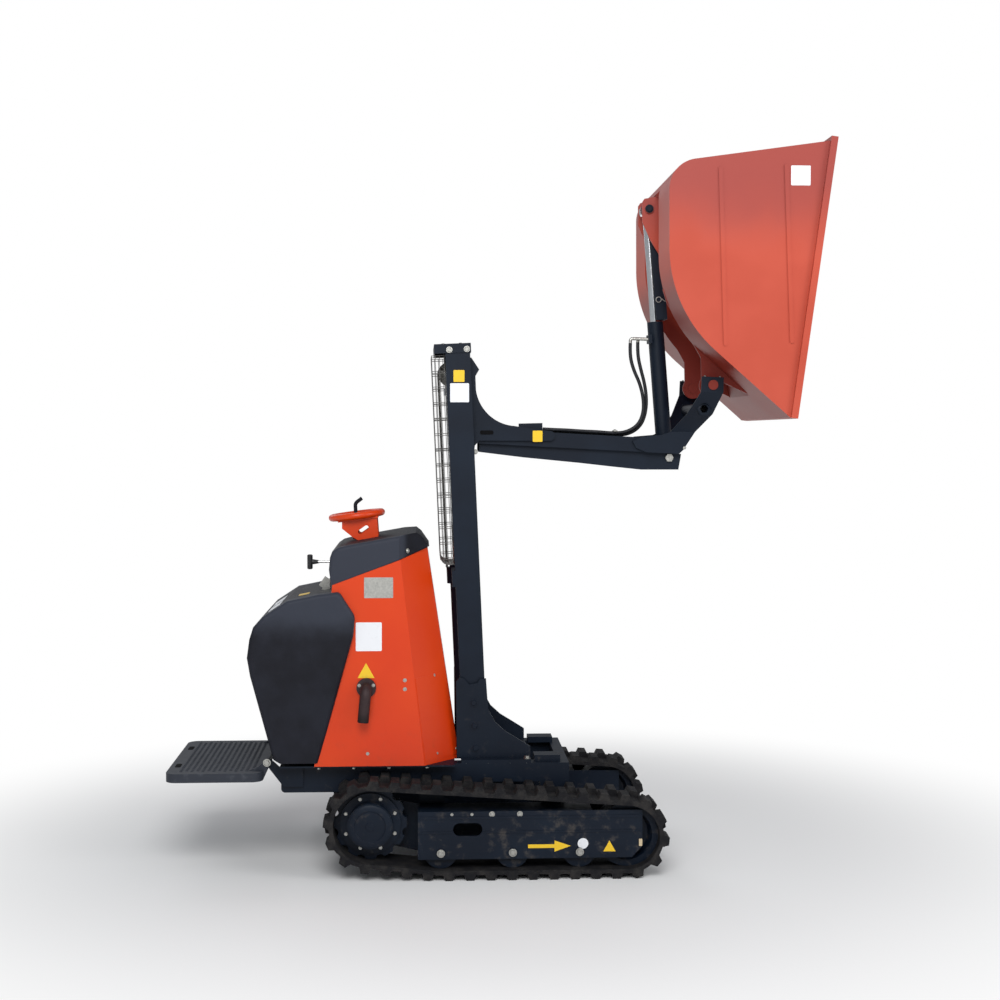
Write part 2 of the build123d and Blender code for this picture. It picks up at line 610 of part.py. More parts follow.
CONSOLE_HALF, CONSOLE_NOSE = 274, 146
with BuildSketch(Plane.XY.offset(1000)) as console_plan:
    with BuildLine():
        Polyline((-700, CONSOLE_HALF - MOULDED), (-354, CONSOLE_HALF - MOULDED), (-246, CONSOLE_NOSE - 3),
                 (-246, -CONSOLE_NOSE + 3), (-354, -CONSOLE_HALF + MOULDED),
                 (-700, -CONSOLE_HALF + MOULDED), close=True)
    make_face()
console_slab = extrude(flat(lambda: console_side(MOULDED), 0), amount=CONSOLE_HALF, both=True)
console_room = extrude(console_plan.sketch, amount=300) & console_slab
with BuildPart() as console_cover:
    extrude(flat(lambda: console_side(0), 0), amount=CONSOLE_HALF, both=True)
    rims = console_cover.faces().filter_by(Axis.Y).edges()
    fillet(rims.filter_by(lambda e: e.center().Z > 1100 and e.center().X < -300), radius=COVER_ROUND)
    # the front corners are cut back in line with the hood's angled faces
    for side_name, side in SIDES:
        with BuildSketch(Plane.XY.offset(1000)):
            with BuildLine():
                Polyline((-352, side * CONSOLE_HALF), (-240, side * CONSOLE_NOSE), (-200, side * CONSOLE_NOSE),
                         (-200, side * 400), (-352, side * 400), close=True)
            make_face()
        extrude(amount=300, mode=Mode.SUBTRACT)
    add(console_room, mode=Mode.SUBTRACT)
    with BuildSketch(HOOD_TOP.offset(RUN)):
        Rectangle(1600, 1600)
    extrude(amount=-400, mode=Mode.SUBTRACT)
finish(console_cover, "console_cover")

ENGINE_X, ENGINE_Z, ENGINE_HALF = (-560, -245), (DECK_TOP, 800), 180
with BuildPart() as engine_block:
    with Locations((ENGINE_X[0], 0, ENGINE_Z[0])):
        Box(ENGINE_X[1] - ENGINE_X[0], 2 * ENGINE_HALF, ENGINE_Z[1] - ENGINE_Z[0],
            align=(Align.MIN, Align.CENTER, Align.MIN))
finish(engine_block, "engine_block")

with BuildPart() as exhaust:
    with BuildLine() as tail_path:
        FilletPolyline((TAIL_X, -ENGINE_HALF - RUN, TAIL_Z), (TAIL_X, TAIL_OUT_Y, TAIL_Z),
                       (TAIL_X - 11, TAIL_OUT_Y, TAIL_END_Z), radius=30)
    with BuildSketch(Plane(origin=(TAIL_X, -ENGINE_HALF - RUN, TAIL_Z), z_dir=(0, -1, 0))):
        Circle(TAIL_R)
        Circle(TAIL_BORE, mode=Mode.SUBTRACT)
    sweep(path=tail_path.line)
    with BuildSketch(Plane(origin=(TAIL_X, -298, TAIL_Z), z_dir=(0, -1, 0))):
        Circle(35)
        Circle(TAIL_BORE, mode=Mode.SUBTRACT)
    extrude(amount=6)
finish(exhaust, "exhaust")

# ---------------------------------------------------------------- controls
RING_X, RING_Z, RING_R, RING_BAR, RING_TILT = -513, 1274, 93, 13, 7
ring_tilt = radians(RING_TILT)
RING = Plane(origin=(RING_X, 0, RING_Z), x_dir=(cos(ring_tilt), 0, sin(ring_tilt)),
             z_dir=(-sin(ring_tilt), 0, cos(ring_tilt)))
BRACKET_Y, BRACKET_T = 60, 5
CONSOLE_SLOPE = (1214 - 1176) / (545 - 332)


def console_top(x):
    return 1176 + (x + 545) * CONSOLE_SLOPE


def ring_floor(x):
    """Underside of the hand ring's cross plate."""
    return RING_Z + (x - RING_X) * sin(ring_tilt) / cos(ring_tilt) - (RING_BAR + 4) / cos(ring_tilt)


def ring_bracket_side():
    Polyline((-566, ring_floor(-566)), (-566, 1226), (-529, 1196), (-507, console_top(-507) + RUN),
             (-431, console_top(-431) + RUN), (-436, ring_floor(-436)), close=True)


with BuildPart() as hand_ring:
    with BuildSketch(Plane(origin=RING.origin, x_dir=RING.x_dir, z_dir=(0, -1, 0))):
        with Locations((RING_R, 0)):
            Circle(RING_BAR)
    revolve(axis=Axis(RING.origin, RING.z_dir))
    with BuildSketch(RING.offset(-RING_BAR - 4)):
        with Locations((5, 0)):
            Rectangle(150, 2 * BRACKET_Y + 20)
            Rectangle(96, 2 * BRACKET_Y - 26, mode=Mode.SUBTRACT)
    extrude(amount=6)
finish(hand_ring, "hand_ring")

with BuildPart() as ring_bracket:
    for side_name, side in SIDES:
        extrude(flat(ring_bracket_side, side * BRACKET_Y), amount=-side * BRACKET_T)
        with BuildSketch(at_y(side * BRACKET_Y)):
            with Locations(Location((-487, 1222, 0), (0, 0, 35))):
                SlotOverall(44, 16)
        extrude(amount=-side * BRACKET_T, mode=Mode.SUBTRACT)
finish(ring_bracket, "ring_bracket")

STICK_X, STICK_R, STICK_BASE_R = -517, 7, 12     # lever and its rubber boot
STICK_Z = console_top(STICK_X + STICK_BASE_R) + RUN
with BuildPart() as joystick:
    with BuildSketch(Plane.XY.offset(STICK_Z)):
        with Locations((STICK_X, 0)):
            Circle(STICK_BASE_R)
    extrude(amount=90)
    with BuildLine() as stick_path:
        FilletPolyline((STICK_X, 0, STICK_Z + 90), (STICK_X - 2, 0, 1318), (-494, 0, 1337), radius=18)
    with BuildSketch(Plane(origin=(STICK_X, 0, STICK_Z + 90), z_dir=(0, 0, 1))):
        Circle(STICK_R)
    sweep(path=stick_path.line)
finish(joystick, "joystick")

TEE_Y, TEE_Z = -150, 1110
with BuildPart() as tee_lever:
    with BuildSketch(Plane(origin=(-603.5, TEE_Y, TEE_Z), x_dir=(0, 1, 0), z_dir=(-1, 0, 0))):
        Circle(4)
    extrude(amount=50)
    with BuildSketch(Plane(origin=(-646, TEE_Y, TEE_Z), x_dir=(0, 1, 0), z_dir=(-1, 0, 0))):
        Circle(6)
    with BuildSketch(Plane(origin=(-672, TEE_Y, TEE_Z), x_dir=(0, 1, 0), z_dir=(-1, 0, 0))):
        Circle(10)
    loft()
    with BuildSketch(Plane.XY.offset(TEE_Z - 27)):
        with Locations((-679, TEE_Y)):
            Circle(10)
    extrude(amount=54)
    fillet(tee_lever.edges().filter_by(GeomType.CIRCLE).filter_by(lambda e: e.radius == 10 and abs(e.normal().Z) > 0.9),
           radius=5)
finish(tee_lever, "tee_lever")

LATCH_Y, LATCH_T = -100, 30
LATCH_SEAT = ((-640, cover_top(-640) + RUN), (-608, 1049))
seat_x, seat_z = LATCH_SEAT[1][0] - LATCH_SEAT[0][0], LATCH_SEAT[1][1] - LATCH_SEAT[0][1]
seat_run = hypot(seat_x, seat_z)
LATCH = Plane(origin=((LATCH_SEAT[0][0] + LATCH_SEAT[1][0]) / 2, LATCH_Y, (LATCH_SEAT[0][1] + LATCH_SEAT[1][1]) / 2),
              x_dir=(seat_x / seat_run, 0, seat_z / seat_run), z_dir=(-seat_z / seat_run, 0, seat_x / seat_run))
with BuildPart() as latch:
    extrude(flat(lambda: Polyline(LATCH_SEAT[0], (-608, cover_top(-608) + RUN), LATCH_SEAT[1], close=True), LATCH_Y),
            amount=LATCH_T / 2, both=True)
    with BuildSketch(LATCH):
        Rectangle(38, 24)
    extrude(amount=18)
finish(latch, "latch")

# ---------------------------------------------------------------- rear step
STEP_HINGE = (-829, 394)
STEP_FRONT_X, STEP_REAR_X = -842, -LENGTH / 2
STEP_SHEET = 4
EYE_R, PIN_R = 15, 7
EAR_Y = REAR_BOX_HALF + RUN + 8 + 5      # inner face of the step's own ears


def step_bracket_side():
    Polyline((-700, 302), (-700, 376), (-786, 376), (-812, 400), (-829, 409))
    ThreePointArc((-829, 409), (-844, 394), (-829, 379))
    Line((-829, 379), (-770, 302))
    Line((-770, 302), (-700, 302))


def step_ear_side():
    Polyline((-900, 336), (-900, 364), (-860, 380), (-844, 394))
    ThreePointArc((-844, 394), (-829, 409), (-814, 394))
    Polyline((-814, 394), (-829, 366), (-842, 336), (-900, 336))


with BuildPart() as platform_bracket:
    for side_name, side in SIDES:
        extrude(flat(step_bracket_side, side * (REAR_BOX_HALF + RUN)), amount=-side * 8)
    with BuildSketch(at_y(0)):
        with Locations(STEP_HINGE):
            Circle(PIN_R + FIT)
    extrude(amount=400, both=True, mode=Mode.SUBTRACT)
finish(platform_bracket, "platform_bracket")

with BuildPart() as platform:
    step_x = (STEP_FRONT_X + STEP_REAR_X) / 2
    step_long = STEP_FRONT_X - STEP_REAR_X
    with BuildSketch(Plane.XY.offset(PLATFORM_TOP_Z)):
        with Locations((step_x, 0)):
            RectangleRounded(step_long, 2 * PLATFORM_HALF, 40)
    extrude(amount=-PLATFORM_LIP)
    with BuildSketch(Plane.XY.offset(PLATFORM_TOP_Z - STEP_SHEET)):
        with Locations((step_x, 0)):
            RectangleRounded(step_long - 2 * STEP_SHEET, 2 * (PLATFORM_HALF - STEP_SHEET), 40 - STEP_SHEET)
    extrude(amount=-PLATFORM_LIP, mode=Mode.SUBTRACT)
    for side_name, side in SIDES:
        extrude(flat(step_ear_side, side * EAR_Y), amount=-side * 8)
        with BuildSketch(at_y(side * (REAR_BOX_HALF - 4))):
            with Locations(STEP_HINGE):
                Circle(PIN_R)
        extrude(amount=-side * 30)
finish(platform, "platform")

# ---------------------------------------------------------------- boom
boom_slope = sin(radians(BOOM_DROP)) / cos(radians(BOOM_DROP))
beam_deep = BEAM_H / cos(radians(BOOM_DROP))
BEAM_TOP = (222, 1582)                   # a place on the beams' top
BEAM_OUT_Y = ARM_OUT_Y - ARM_T
BEAM_IN_Y = BEAM_OUT_Y - BEAM_W
BEAM_FRONT_X = 660
BASE_PIN_R = 14
ROLLER_HEIGHTS = (1151, 1391)            # carriage rollers, along the mast
CARRIAGE_ROLLER_R = (RAIL_DEPTH - 2 * RAIL_FLANGE) / 2 - RUN
CROSS_X, CROSS_T = 15, 12                # carriage cross plate, along the mast's local x


def beam_top(x):
    return BEAM_TOP[1] - (x - BEAM_TOP[0]) * boom_slope


def carriage_face_x(z):
    """World x of the cross plate's front face at a height."""
    height = (z - CHASSIS_TOP_Z) / cos(rake)
    return mast_point(CROSS_X + CROSS_T, height)[0]


def arm_side():
    nose_z = beam_top(214)
    Polyline((-163, 1488), (-171, 1800), (-150, 1812), (-112, 1858), (-87, 1858), (-58, 1814), (-72, 1790),
             (-70, 1739))
    ThreePointArc((-70, 1739), (-30, 1655), (70, 1607))
    Line((70, 1607), (200, nose_z + 6))
    ThreePointArc((200, nose_z + 6), (221, nose_z - 14), (200, nose_z - 30))
    Polyline((200, nose_z - 30), (-58, 1553), (-74, 1535), (-80, 1488), (-163, 1488))


with BuildPart() as carriage_arms:
    for side_name, side in SIDES:
        extrude(flat(arm_side, side * ARM_OUT_Y), amount=side * ARM_T)
    with BuildSketch(up_mast(1130)):
        with Locations((CROSS_X + CROSS_T / 2, 0)):
            Rectangle(CROSS_T, 2 * BEAM_OUT_Y)
    extrude(amount=CARRIAGE_TOP - 1130)
    with BuildSketch(Plane(origin=(-87, -BEAM_OUT_Y, 1720), z_dir=(0, 1, 0))):
        Circle(15)
        Circle(11, mode=Mode.SUBTRACT)
    extrude(amount=2 * BEAM_OUT_Y)
finish(carriage_arms, "carriage_arms")

with BuildPart() as carriage_rollers:
    for height in ROLLER_HEIGHTS:
        for side_name, side in SIDES:
            with BuildSketch(Plane(origin=MAST.from_local_coords((0, side * ARM_OUT_Y, height)),
                                   x_dir=MAST.x_dir, z_dir=(0, side, 0))):
                Circle(14)
            extrude(amount=10)
            with BuildSketch(Plane(origin=MAST.from_local_coords((0, side * (ARM_OUT_Y + 10), height)),
                                   x_dir=MAST.x_dir, z_dir=(0, side, 0))):
                Circle(CARRIAGE_ROLLER_R)
            extrude(amount=24)
finish(carriage_rollers, "carriage_rollers")


def beam_side(inset):
    rear_high, rear_low = beam_top(-100), beam_top(-100) - beam_deep
    Polyline((carriage_face_x(rear_low) + RUN, rear_low + inset), (BEAM_FRONT_X, beam_top(BEAM_FRONT_X) - beam_deep + inset),
             (BEAM_FRONT_X, beam_top(BEAM_FRONT_X) - inset), (carriage_face_x(rear_high) + RUN, rear_high - inset), close=True)


with BuildPart() as boom_beams:
    for side_name, side in SIDES:
        extrude(flat(lambda: beam_side(0), side * BEAM_OUT_Y), amount=side * BEAM_W)
        extrude(flat(lambda: beam_side(BEAM_WALL), side * (BEAM_OUT_Y - BEAM_WALL)),
                amount=side * (BEAM_W - 2 * BEAM_WALL), mode=Mode.SUBTRACT)
finish(boom_beams, "boom_beams")


def channel_side(lift):
    """Lower channel's outline; the lift raises its floor for the hollow."""
    Polyline((-58, beam_top(-58) - beam_deep), (-58, 1511 + lift), (104, 1491 + lift), (317, 1470 + lift),
             (431, 1457 + lift), (545, 1445 + lift), (685, 1445 + lift), (695, beam_top(695) - beam_deep), close=True)


with BuildPart() as boom_channel:
    extrude(flat(lambda: channel_side(0), 0), amount=CHANNEL_HALF, both=True)
    extrude(flat(lambda: channel_side(CHANNEL_T), 0), amount=CHANNEL_HALF - CHANNEL_T, both=True, mode=Mode.SUBTRACT)
    with BuildSketch(at_y(0)):
        with Locations(BASE_EYE):
            Circle(BASE_PIN_R)
    extrude(amount=CHANNEL_HALF + 6, both=True, mode=Mode.SUBTRACT)
finish(boom_channel, "boom_channel")


def knuckle_side():
    Polyline((509, 1551), (523, 1526), (560, 1510), (683, 1504), (698, 1518), (742, 1585), (650, 1585),
             (621, 1574), (548, 1568), close=True)


KNUCKLE_BENDS = (
    # z, rear x, front x, outer |y|
    (1585, 650, 742, ARM_OUT_Y),
    (1650, 702, 797, ARM_OUT_Y + (KNUCKLE_OUT_Y - ARM_OUT_Y) * 65 / 144),
    (1729, 743, 824, KNUCKLE_OUT_Y),
)
TUBE_AT, TUBE_R, TUBE_BORE, TUBE_HALF = (762, 1669), 21, 15, 200
with BuildPart() as knuckle:
    for side_name, side in SIDES:
        extrude(flat(knuckle_side, side * ARM_OUT_Y), amount=side * ARM_T)
        for z, rear, front, out in KNUCKLE_BENDS:
            with BuildSketch(Plane.XY.offset(z)):
                with Locations(((rear + front) / 2, side * (out - ARM_T / 2))):
                    Rectangle(front - rear, ARM_T)
        loft(ruled=True)
        with BuildSketch(at_y(side * KNUCKLE_OUT_Y)):
            with BuildLine():
                Polyline((743, 1729), (746, 1786), (825, 1782), (824, 1729), close=True)
            make_face()
            with Locations(PIVOT):
                Circle(PIVOT_R + FIT, mode=Mode.SUBTRACT)
        extrude(amount=side * ARM_T)
    with BuildSketch(at_y(0)):
        with Locations(TUBE_AT):
            Circle(TUBE_R + FIT)
    extrude(amount=KNUCKLE_OUT_Y, both=True, mode=Mode.SUBTRACT)
finish(knuckle, "knuckle")

# open tube across both brackets, for a transport bar
with BuildPart() as transport_tube:
    with BuildSketch(at_y(0)):
        with Locations(TUBE_AT):
            Circle(TUBE_R)
            Circle(TUBE_BORE, mode=Mode.SUBTRACT)
    extrude(amount=TUBE_HALF, both=True)
finish(transport_tube, "transport_tube")

with BuildPart() as hose_box:
    extrude(flat(lambda: Polyline((90, beam_top(90) + RUN), (90, 1616), (176, 1618), (176, beam_top(176) + RUN), close=True),
                 -78), amount=38)
finish(hose_box, "hose_box")

# ---------------------------------------------------------------- skip
# side outline, clockwise from the lip: lip, belly corner, rear top corner, front top corner
SKIP_CORNERS = ((1028, 1634), (597, 2014), (595, 2525), (1161.7, 2604))
SKIP_RADII = (480, 105)
RECESS_HALF, RECESS_DEEP = 180, 75       # hollow in the belly that clears the boom and the cylinder
RECESS_FADE = (110, 260)                 # how far from the lip it begins and is fully deep
MOUTH_REACH = 60


def inset_chain(points, inset, reach):
    """The open chain of points moved in by the inset, its two ends drawn out by the reach."""
    moved = []
    for (ax, az), (bx, bz) in zip(points, points[1:]):
        run = hypot(bx - ax, bz - az)
        ux, uz = (bx - ax) / run, (bz - az) / run
        moved.append((ax + inset * uz, az - inset * ux, ux, uz, run))
    x, z, ux, uz, run = moved[0]
    chain = [(x - reach * ux, z - reach * uz)]
    for (ax, az, aux, auz, _), (bx, bz, bux, buz, _) in zip(moved, moved[1:]):
        along = ((bx - ax) * buz - (bz - az) * bux) / (aux * buz - auz * bux)
        chain.append((ax + along * aux, az + along * auz))
    x, z, ux, uz, run = moved[-1]
    chain.append((x + (run + reach) * ux, z + (run + reach) * uz))
    return chain


def skip_side(inset, reach):
    chain = inset_chain(SKIP_CORNERS, inset, reach)
    FilletPolyline(*chain, radius=[r - min(inset, r - 10) for r in SKIP_RADII])
    Line(chain[-1], chain[0])


def from_lip(distance, depth):
    """A place along the belly from the lip, at a depth inside its outline."""
    (lip_x, lip_z), (belly_x, belly_z) = SKIP_CORNERS[:2]
    run = hypot(belly_x - lip_x, belly_z - lip_z)
    ux, uz = (belly_x - lip_x) / run, (belly_z - lip_z) / run
    return (lip_x + distance * ux + depth * uz, lip_z + distance * uz - depth * ux)


def recess_side(grow):
    """What the recess cuts out of the skip's outline, from behind the rear wall to near the lip."""
    belly_x, belly_z = SKIP_CORNERS[1]
    near, far = RECESS_FADE
    chain = inset_chain(SKIP_CORNERS, RECESS_DEEP + grow, 0)
    start = from_lip(near - 3 * grow, -10)
    FilletPolyline((belly_x - 80, 2500 + grow), (belly_x - 2, 2470 + grow), (chain[1][0], 2400 + grow),
                   chain[1], from_lip(far - grow / 2, RECESS_DEEP + grow), start, radius=(4, 12, 420, 40))
    Polyline(start, from_lip(near, -60), (belly_x - 80, belly_z - 60), (belly_x - 80, 2500 + grow))


mouth_x, mouth_z = (SKIP_CORNERS[3][0] - SKIP_CORNERS[0][0]), (SKIP_CORNERS[3][1] - SKIP_CORNERS[0][1])
MOUTH_TALL = hypot(mouth_x, mouth_z)
MOUTH = Plane(origin=(SKIP_CORNERS[0][0], 0, SKIP_CORNERS[0][1]), x_dir=(0, 1, 0),
              z_dir=(mouth_z / MOUTH_TALL, 0, -mouth_x / MOUTH_TALL))
SIDE_RIBS = (((775, 2503), (796, 1893)), ((1007, 2514), (1031, 1903)))
SIDE_RIB_W, SIDE_RIB_OUT = 15, 4

skip_solid = extrude(flat(lambda: skip_side(0, 0), 0), amount=SKIP_HALF, both=True)
skip_recess = extrude(flat(lambda: recess_side(0), 0), amount=RECESS_HALF, both=True)
with BuildPart() as skip_shell:
    add(skip_solid)
    add(skip_recess, mode=Mode.SUBTRACT)
    hollow = extrude(flat(lambda: skip_side(SKIP_WALL, MOUTH_REACH), 0), amount=SKIP_HALF - SKIP_WALL, both=True,
                     mode=Mode.PRIVATE)
    bulge = extrude(flat(lambda: recess_side(SKIP_WALL), 0), amount=RECESS_HALF + SKIP_WALL, both=True,
                    mode=Mode.PRIVATE)
    add(hollow - bulge, mode=Mode.SUBTRACT)
    # rolled rim round the mouth, open where the load leaves
    with BuildSketch(MOUTH):
        Rectangle(2 * (SKIP_HALF + RIM_OUT), MOUTH_TALL + RIM_OUT, align=(Align.CENTER, Align.MIN))
        Rectangle(2 * (SKIP_HALF - SKIP_WALL), MOUTH_TALL - SKIP_WALL, align=(Align.CENTER, Align.MIN),
                  mode=Mode.SUBTRACT)
        Rectangle(2 * (SKIP_HALF + RIM_OUT), SKIP_WALL, align=(Align.CENTER, Align.MIN))
    extrude(amount=RIM_DEEP)
    for side_name, side in SIDES:
        for (ax, az), (bx, bz) in SIDE_RIBS:
            with BuildSketch(at_y(side * (SKIP_HALF - 1))):
                with Locations(Location(((ax + bx) / 2, (az + bz) / 2, 0), (0, 0, degrees(atan2(bz - az, bx - ax))))):
                    SlotCenterToCenter(hypot(bx - ax, bz - az), SIDE_RIB_W)
            extrude(amount=-side * (SIDE_RIB_OUT + 1))
finish(skip_shell, "skip_shell")

RIB_IN_Y = RIB_Y - RIB_T / 2
EYE_EAR_Y, EYE_EAR_T = 52, 10            # inner face and thickness of the cylinder's ears


def rib_side():
    """Belly rib: along the edge of the recess, with the pivot's lobe."""
    px, pz = PIVOT
    Polyline((640, 2240), (611, 2103), (626, 2055), (730, 1895), (752, 1855), (px - 32, pz + 24))
    ThreePointArc((px - 32, pz + 24), (px + 6, pz - 39.5), (px + 36, pz + 17))
    Polyline((px + 36, pz + 17), (930, 1722), (990, 1700), (900, 1850), (740, 2100), (640, 2240))


def ear_side():
    Polyline((560, 2452), (552, 2440), (552, 2367), (582, 2300), (612, 2252), (620, 2234), (690, 2200), (690, 2480),
             (653, 2468), (560, 2452))


with BuildPart() as skip_ribs:
    for side_name, side in SIDES:
        extrude(flat(rib_side, side * RIB_IN_Y), amount=-side * RIB_T)
        extrude(flat(ear_side, side * EYE_EAR_Y), amount=-side * EYE_EAR_T)
    with BuildSketch(at_y(0)):
        with Locations(PIVOT):
            Circle(PIVOT_R + FIT)
        with Locations(ROD_EYE):
            Circle(EYE_PIN_R + FIT)
    extrude(amount=SKIP_HALF, both=True, mode=Mode.SUBTRACT)
    add(skip_solid - skip_recess, mode=Mode.SUBTRACT)
finish(skip_ribs, "skip_ribs")

EAR_OUT_Y = EYE_EAR_Y + EYE_EAR_T
# each pin as stepped rounds on one centre: inner |y|, outer |y|, radius
SKIP_PINS = (
    # pivot pin through the rib and the knuckle plate, and its spacer
    (PIVOT, RIB_IN_Y - 3, KNUCKLE_OUT_Y + 6, PIVOT_R),
    (PIVOT, RIB_IN_Y + RIB_T + RUN, KNUCKLE_OUT_Y - ARM_T - 1, PIVOT_R + 8),
    # end of the cylinder's pin in each ear; the middle of that pin is the rod's own
    (ROD_EYE, EYE_EAR_Y, EAR_OUT_Y + 2, EYE_PIN_R),
    (ROD_EYE, EAR_OUT_Y + RUN, EAR_OUT_Y + 8, EYE_PIN_R + 5),
)
with BuildPart() as skip_pins:
    for side_name, side in SIDES:
        for centre, inner, outer, r in SKIP_PINS:
            with BuildSketch(at_y(side * inner)):
                with Locations(centre):
                    Circle(r)
            extrude(amount=-side * (outer - inner))
finish(skip_pins, "skip_pins")

# ---------------------------------------------------------------- tip cylinder
lean_x, lean_z = ROD_EYE[0] - BASE_EYE[0], ROD_EYE[1] - BASE_EYE[1]
EYE_TO_EYE = hypot(lean_x, lean_z)
# along the cylinder: local x forward, local z from the base eye to the rod's eye
TIP = Plane(origin=(BASE_EYE[0], 0, BASE_EYE[1]), x_dir=(lean_z / EYE_TO_EYE, 0, -lean_x / EYE_TO_EYE),
            z_dir=(lean_x / EYE_TO_EYE, 0, lean_z / EYE_TO_EYE))
TIP_R, TIP_BORE, TIP_ROD_R = 30, 25, 17.5
GLAND, GLAND_T = 512, 28
PORT_S = 447                             # hose ports, from the base eye
HOSE_R = 6.5
HOSE_YS = (-50, -35.5)
HOSE_ENDS = ((510, 1917), (540, 1921))   # where the two hoses hang from their elbows


def up_tip(s):
    return TIP.offset(s)


with BuildPart() as tip_tube:
    with BuildSketch(up_tip(22)):
        Circle(TIP_R)
    extrude(amount=GLAND - 22)
    with BuildSketch(at_y(0)):
        with Locations(BASE_EYE):
            Circle(TIP_R)
    extrude(amount=22, both=True)
    with BuildSketch(at_y(0)):
        with Locations(BASE_EYE):
            Circle(BASE_PIN_R + FIT)
    extrude(amount=40, both=True, mode=Mode.SUBTRACT)
    with BuildSketch(up_tip(54)):
        Circle(TIP_BORE)
    extrude(amount=GLAND - GLAND_T - 54, mode=Mode.SUBTRACT)
    with BuildSketch(up_tip(54)):
        Circle(TIP_ROD_R + FIT)
    extrude(amount=GLAND, mode=Mode.SUBTRACT)
    # port block on the rear of the tube, beside the bore
    with BuildSketch(up_tip(PORT_S - 16)):
        with Locations((-TIP_R - 1, (HOSE_YS[0] - 7 - 10) / 2)):
            Rectangle(12, 10 - HOSE_YS[0] + 7)
    extrude(amount=32)
finish(tip_tube, "tip_cylinder_tube")

with BuildPart() as tip_rod:
    with BuildSketch(up_tip(GLAND - GLAND_T - 30)):
        Circle(TIP_BORE - FIT)
    extrude(amount=28)
    with BuildSketch(up_tip(GLAND - GLAND_T - 30)):
        Circle(TIP_ROD_R)
    extrude(amount=EYE_TO_EYE - GLAND + GLAND_T + 30 - 20)
    with BuildSketch(at_y(0)):
        with Locations(ROD_EYE):
            Circle(27)
    extrude(amount=18, both=True)
    with BuildSketch(at_y(0)):
        with Locations(ROD_EYE):
            Circle(EYE_PIN_R + FIT)
    extrude(amount=40, both=True, mode=Mode.SUBTRACT)
finish(tip_rod, "tip_cylinder_rod")

# middle of the eye's pin: it carries the prop and stays 5 mm clear of the skip's ears
with BuildPart() as eye_pin:
    with BuildSketch(at_y(0)):
        with Locations(ROD_EYE):
            Circle(EYE_PIN_R)
    extrude(amount=EYE_EAR_Y - CLEAR, both=True)
finish(eye_pin, "eye_pin")

with BuildPart() as base_pin:
    with BuildSketch(at_y(0)):
        with Locations(BASE_EYE):
            Circle(BASE_PIN_R - FIT)
    extrude(amount=CHANNEL_HALF + 4, both=True)
    for side_name, side in SIDES:
        with BuildSketch(at_y(side * (CHANNEL_HALF + RUN))):
            with Locations(BASE_EYE):
                RegularPolygon(15.5, 6)
        extrude(amount=-side * 9)
finish(base_pin, "base_pin")

# safety prop: a channel open to the rear that hangs from the rod's eye beside the rod
PROP_IN, PROP_T, PROP_WEB = 36, 4, 38
PROP_LONG = 411
with BuildPart() as safety_prop:
    with BuildSketch(up_tip(EYE_TO_EYE - PROP_LONG)):
        Rectangle(PROP_WEB + PROP_T, 2 * (PROP_IN + PROP_T), align=(Align.MIN, Align.CENTER))
        Rectangle(PROP_WEB, 2 * PROP_IN, align=(Align.MIN, Align.CENTER), mode=Mode.SUBTRACT)
    extrude(amount=PROP_LONG - 74)
    for side_name, side in SIDES:
        with BuildSketch(at_y(side * PROP_IN)):
            with BuildLine():
                eye = TIP.from_local_coords
                low = EYE_TO_EYE - 80
                corners = [eye((x, 0, s)) for x, s in ((0, low), (PROP_WEB + PROP_T, low), (19, EYE_TO_EYE))]
                top = [eye((x, 0, s)) for x, s in ((0, EYE_TO_EYE + 19), (-19, EYE_TO_EYE))]
                Polyline(*[(p.X, p.Z) for p in corners])
                ThreePointArc(*[(p.X, p.Z) for p in (corners[-1], *top)])
                Line((top[1].X, top[1].Z), (corners[0].X, corners[0].Z))
            make_face()
            with Locations(ROD_EYE):
                Circle(EYE_PIN_R + FIT, mode=Mode.SUBTRACT)
        extrude(amount=-side * PROP_T)
finish(safety_prop, "safety_prop")

# ---------------------------------------------------------------- hoses of the tip cylinder
ELBOW_R = 6
with BuildPart() as hose_elbows:
    for y, (x, z) in zip(HOSE_YS, HOSE_ENDS):
        start = TIP.from_local_coords((-TIP_R - 8, y, PORT_S))
        with BuildLine() as elbow_path:
            FilletPolyline(tuple(start), (x, y, start.Z + 2), (x, y, z + RUN), radius=9)
        with BuildSketch(Plane(origin=start, z_dir=(x - start.X, 0, 2))):
            Circle(ELBOW_R)
        sweep(path=elbow_path.line)
finish(hose_elbows, "hose_elbows")

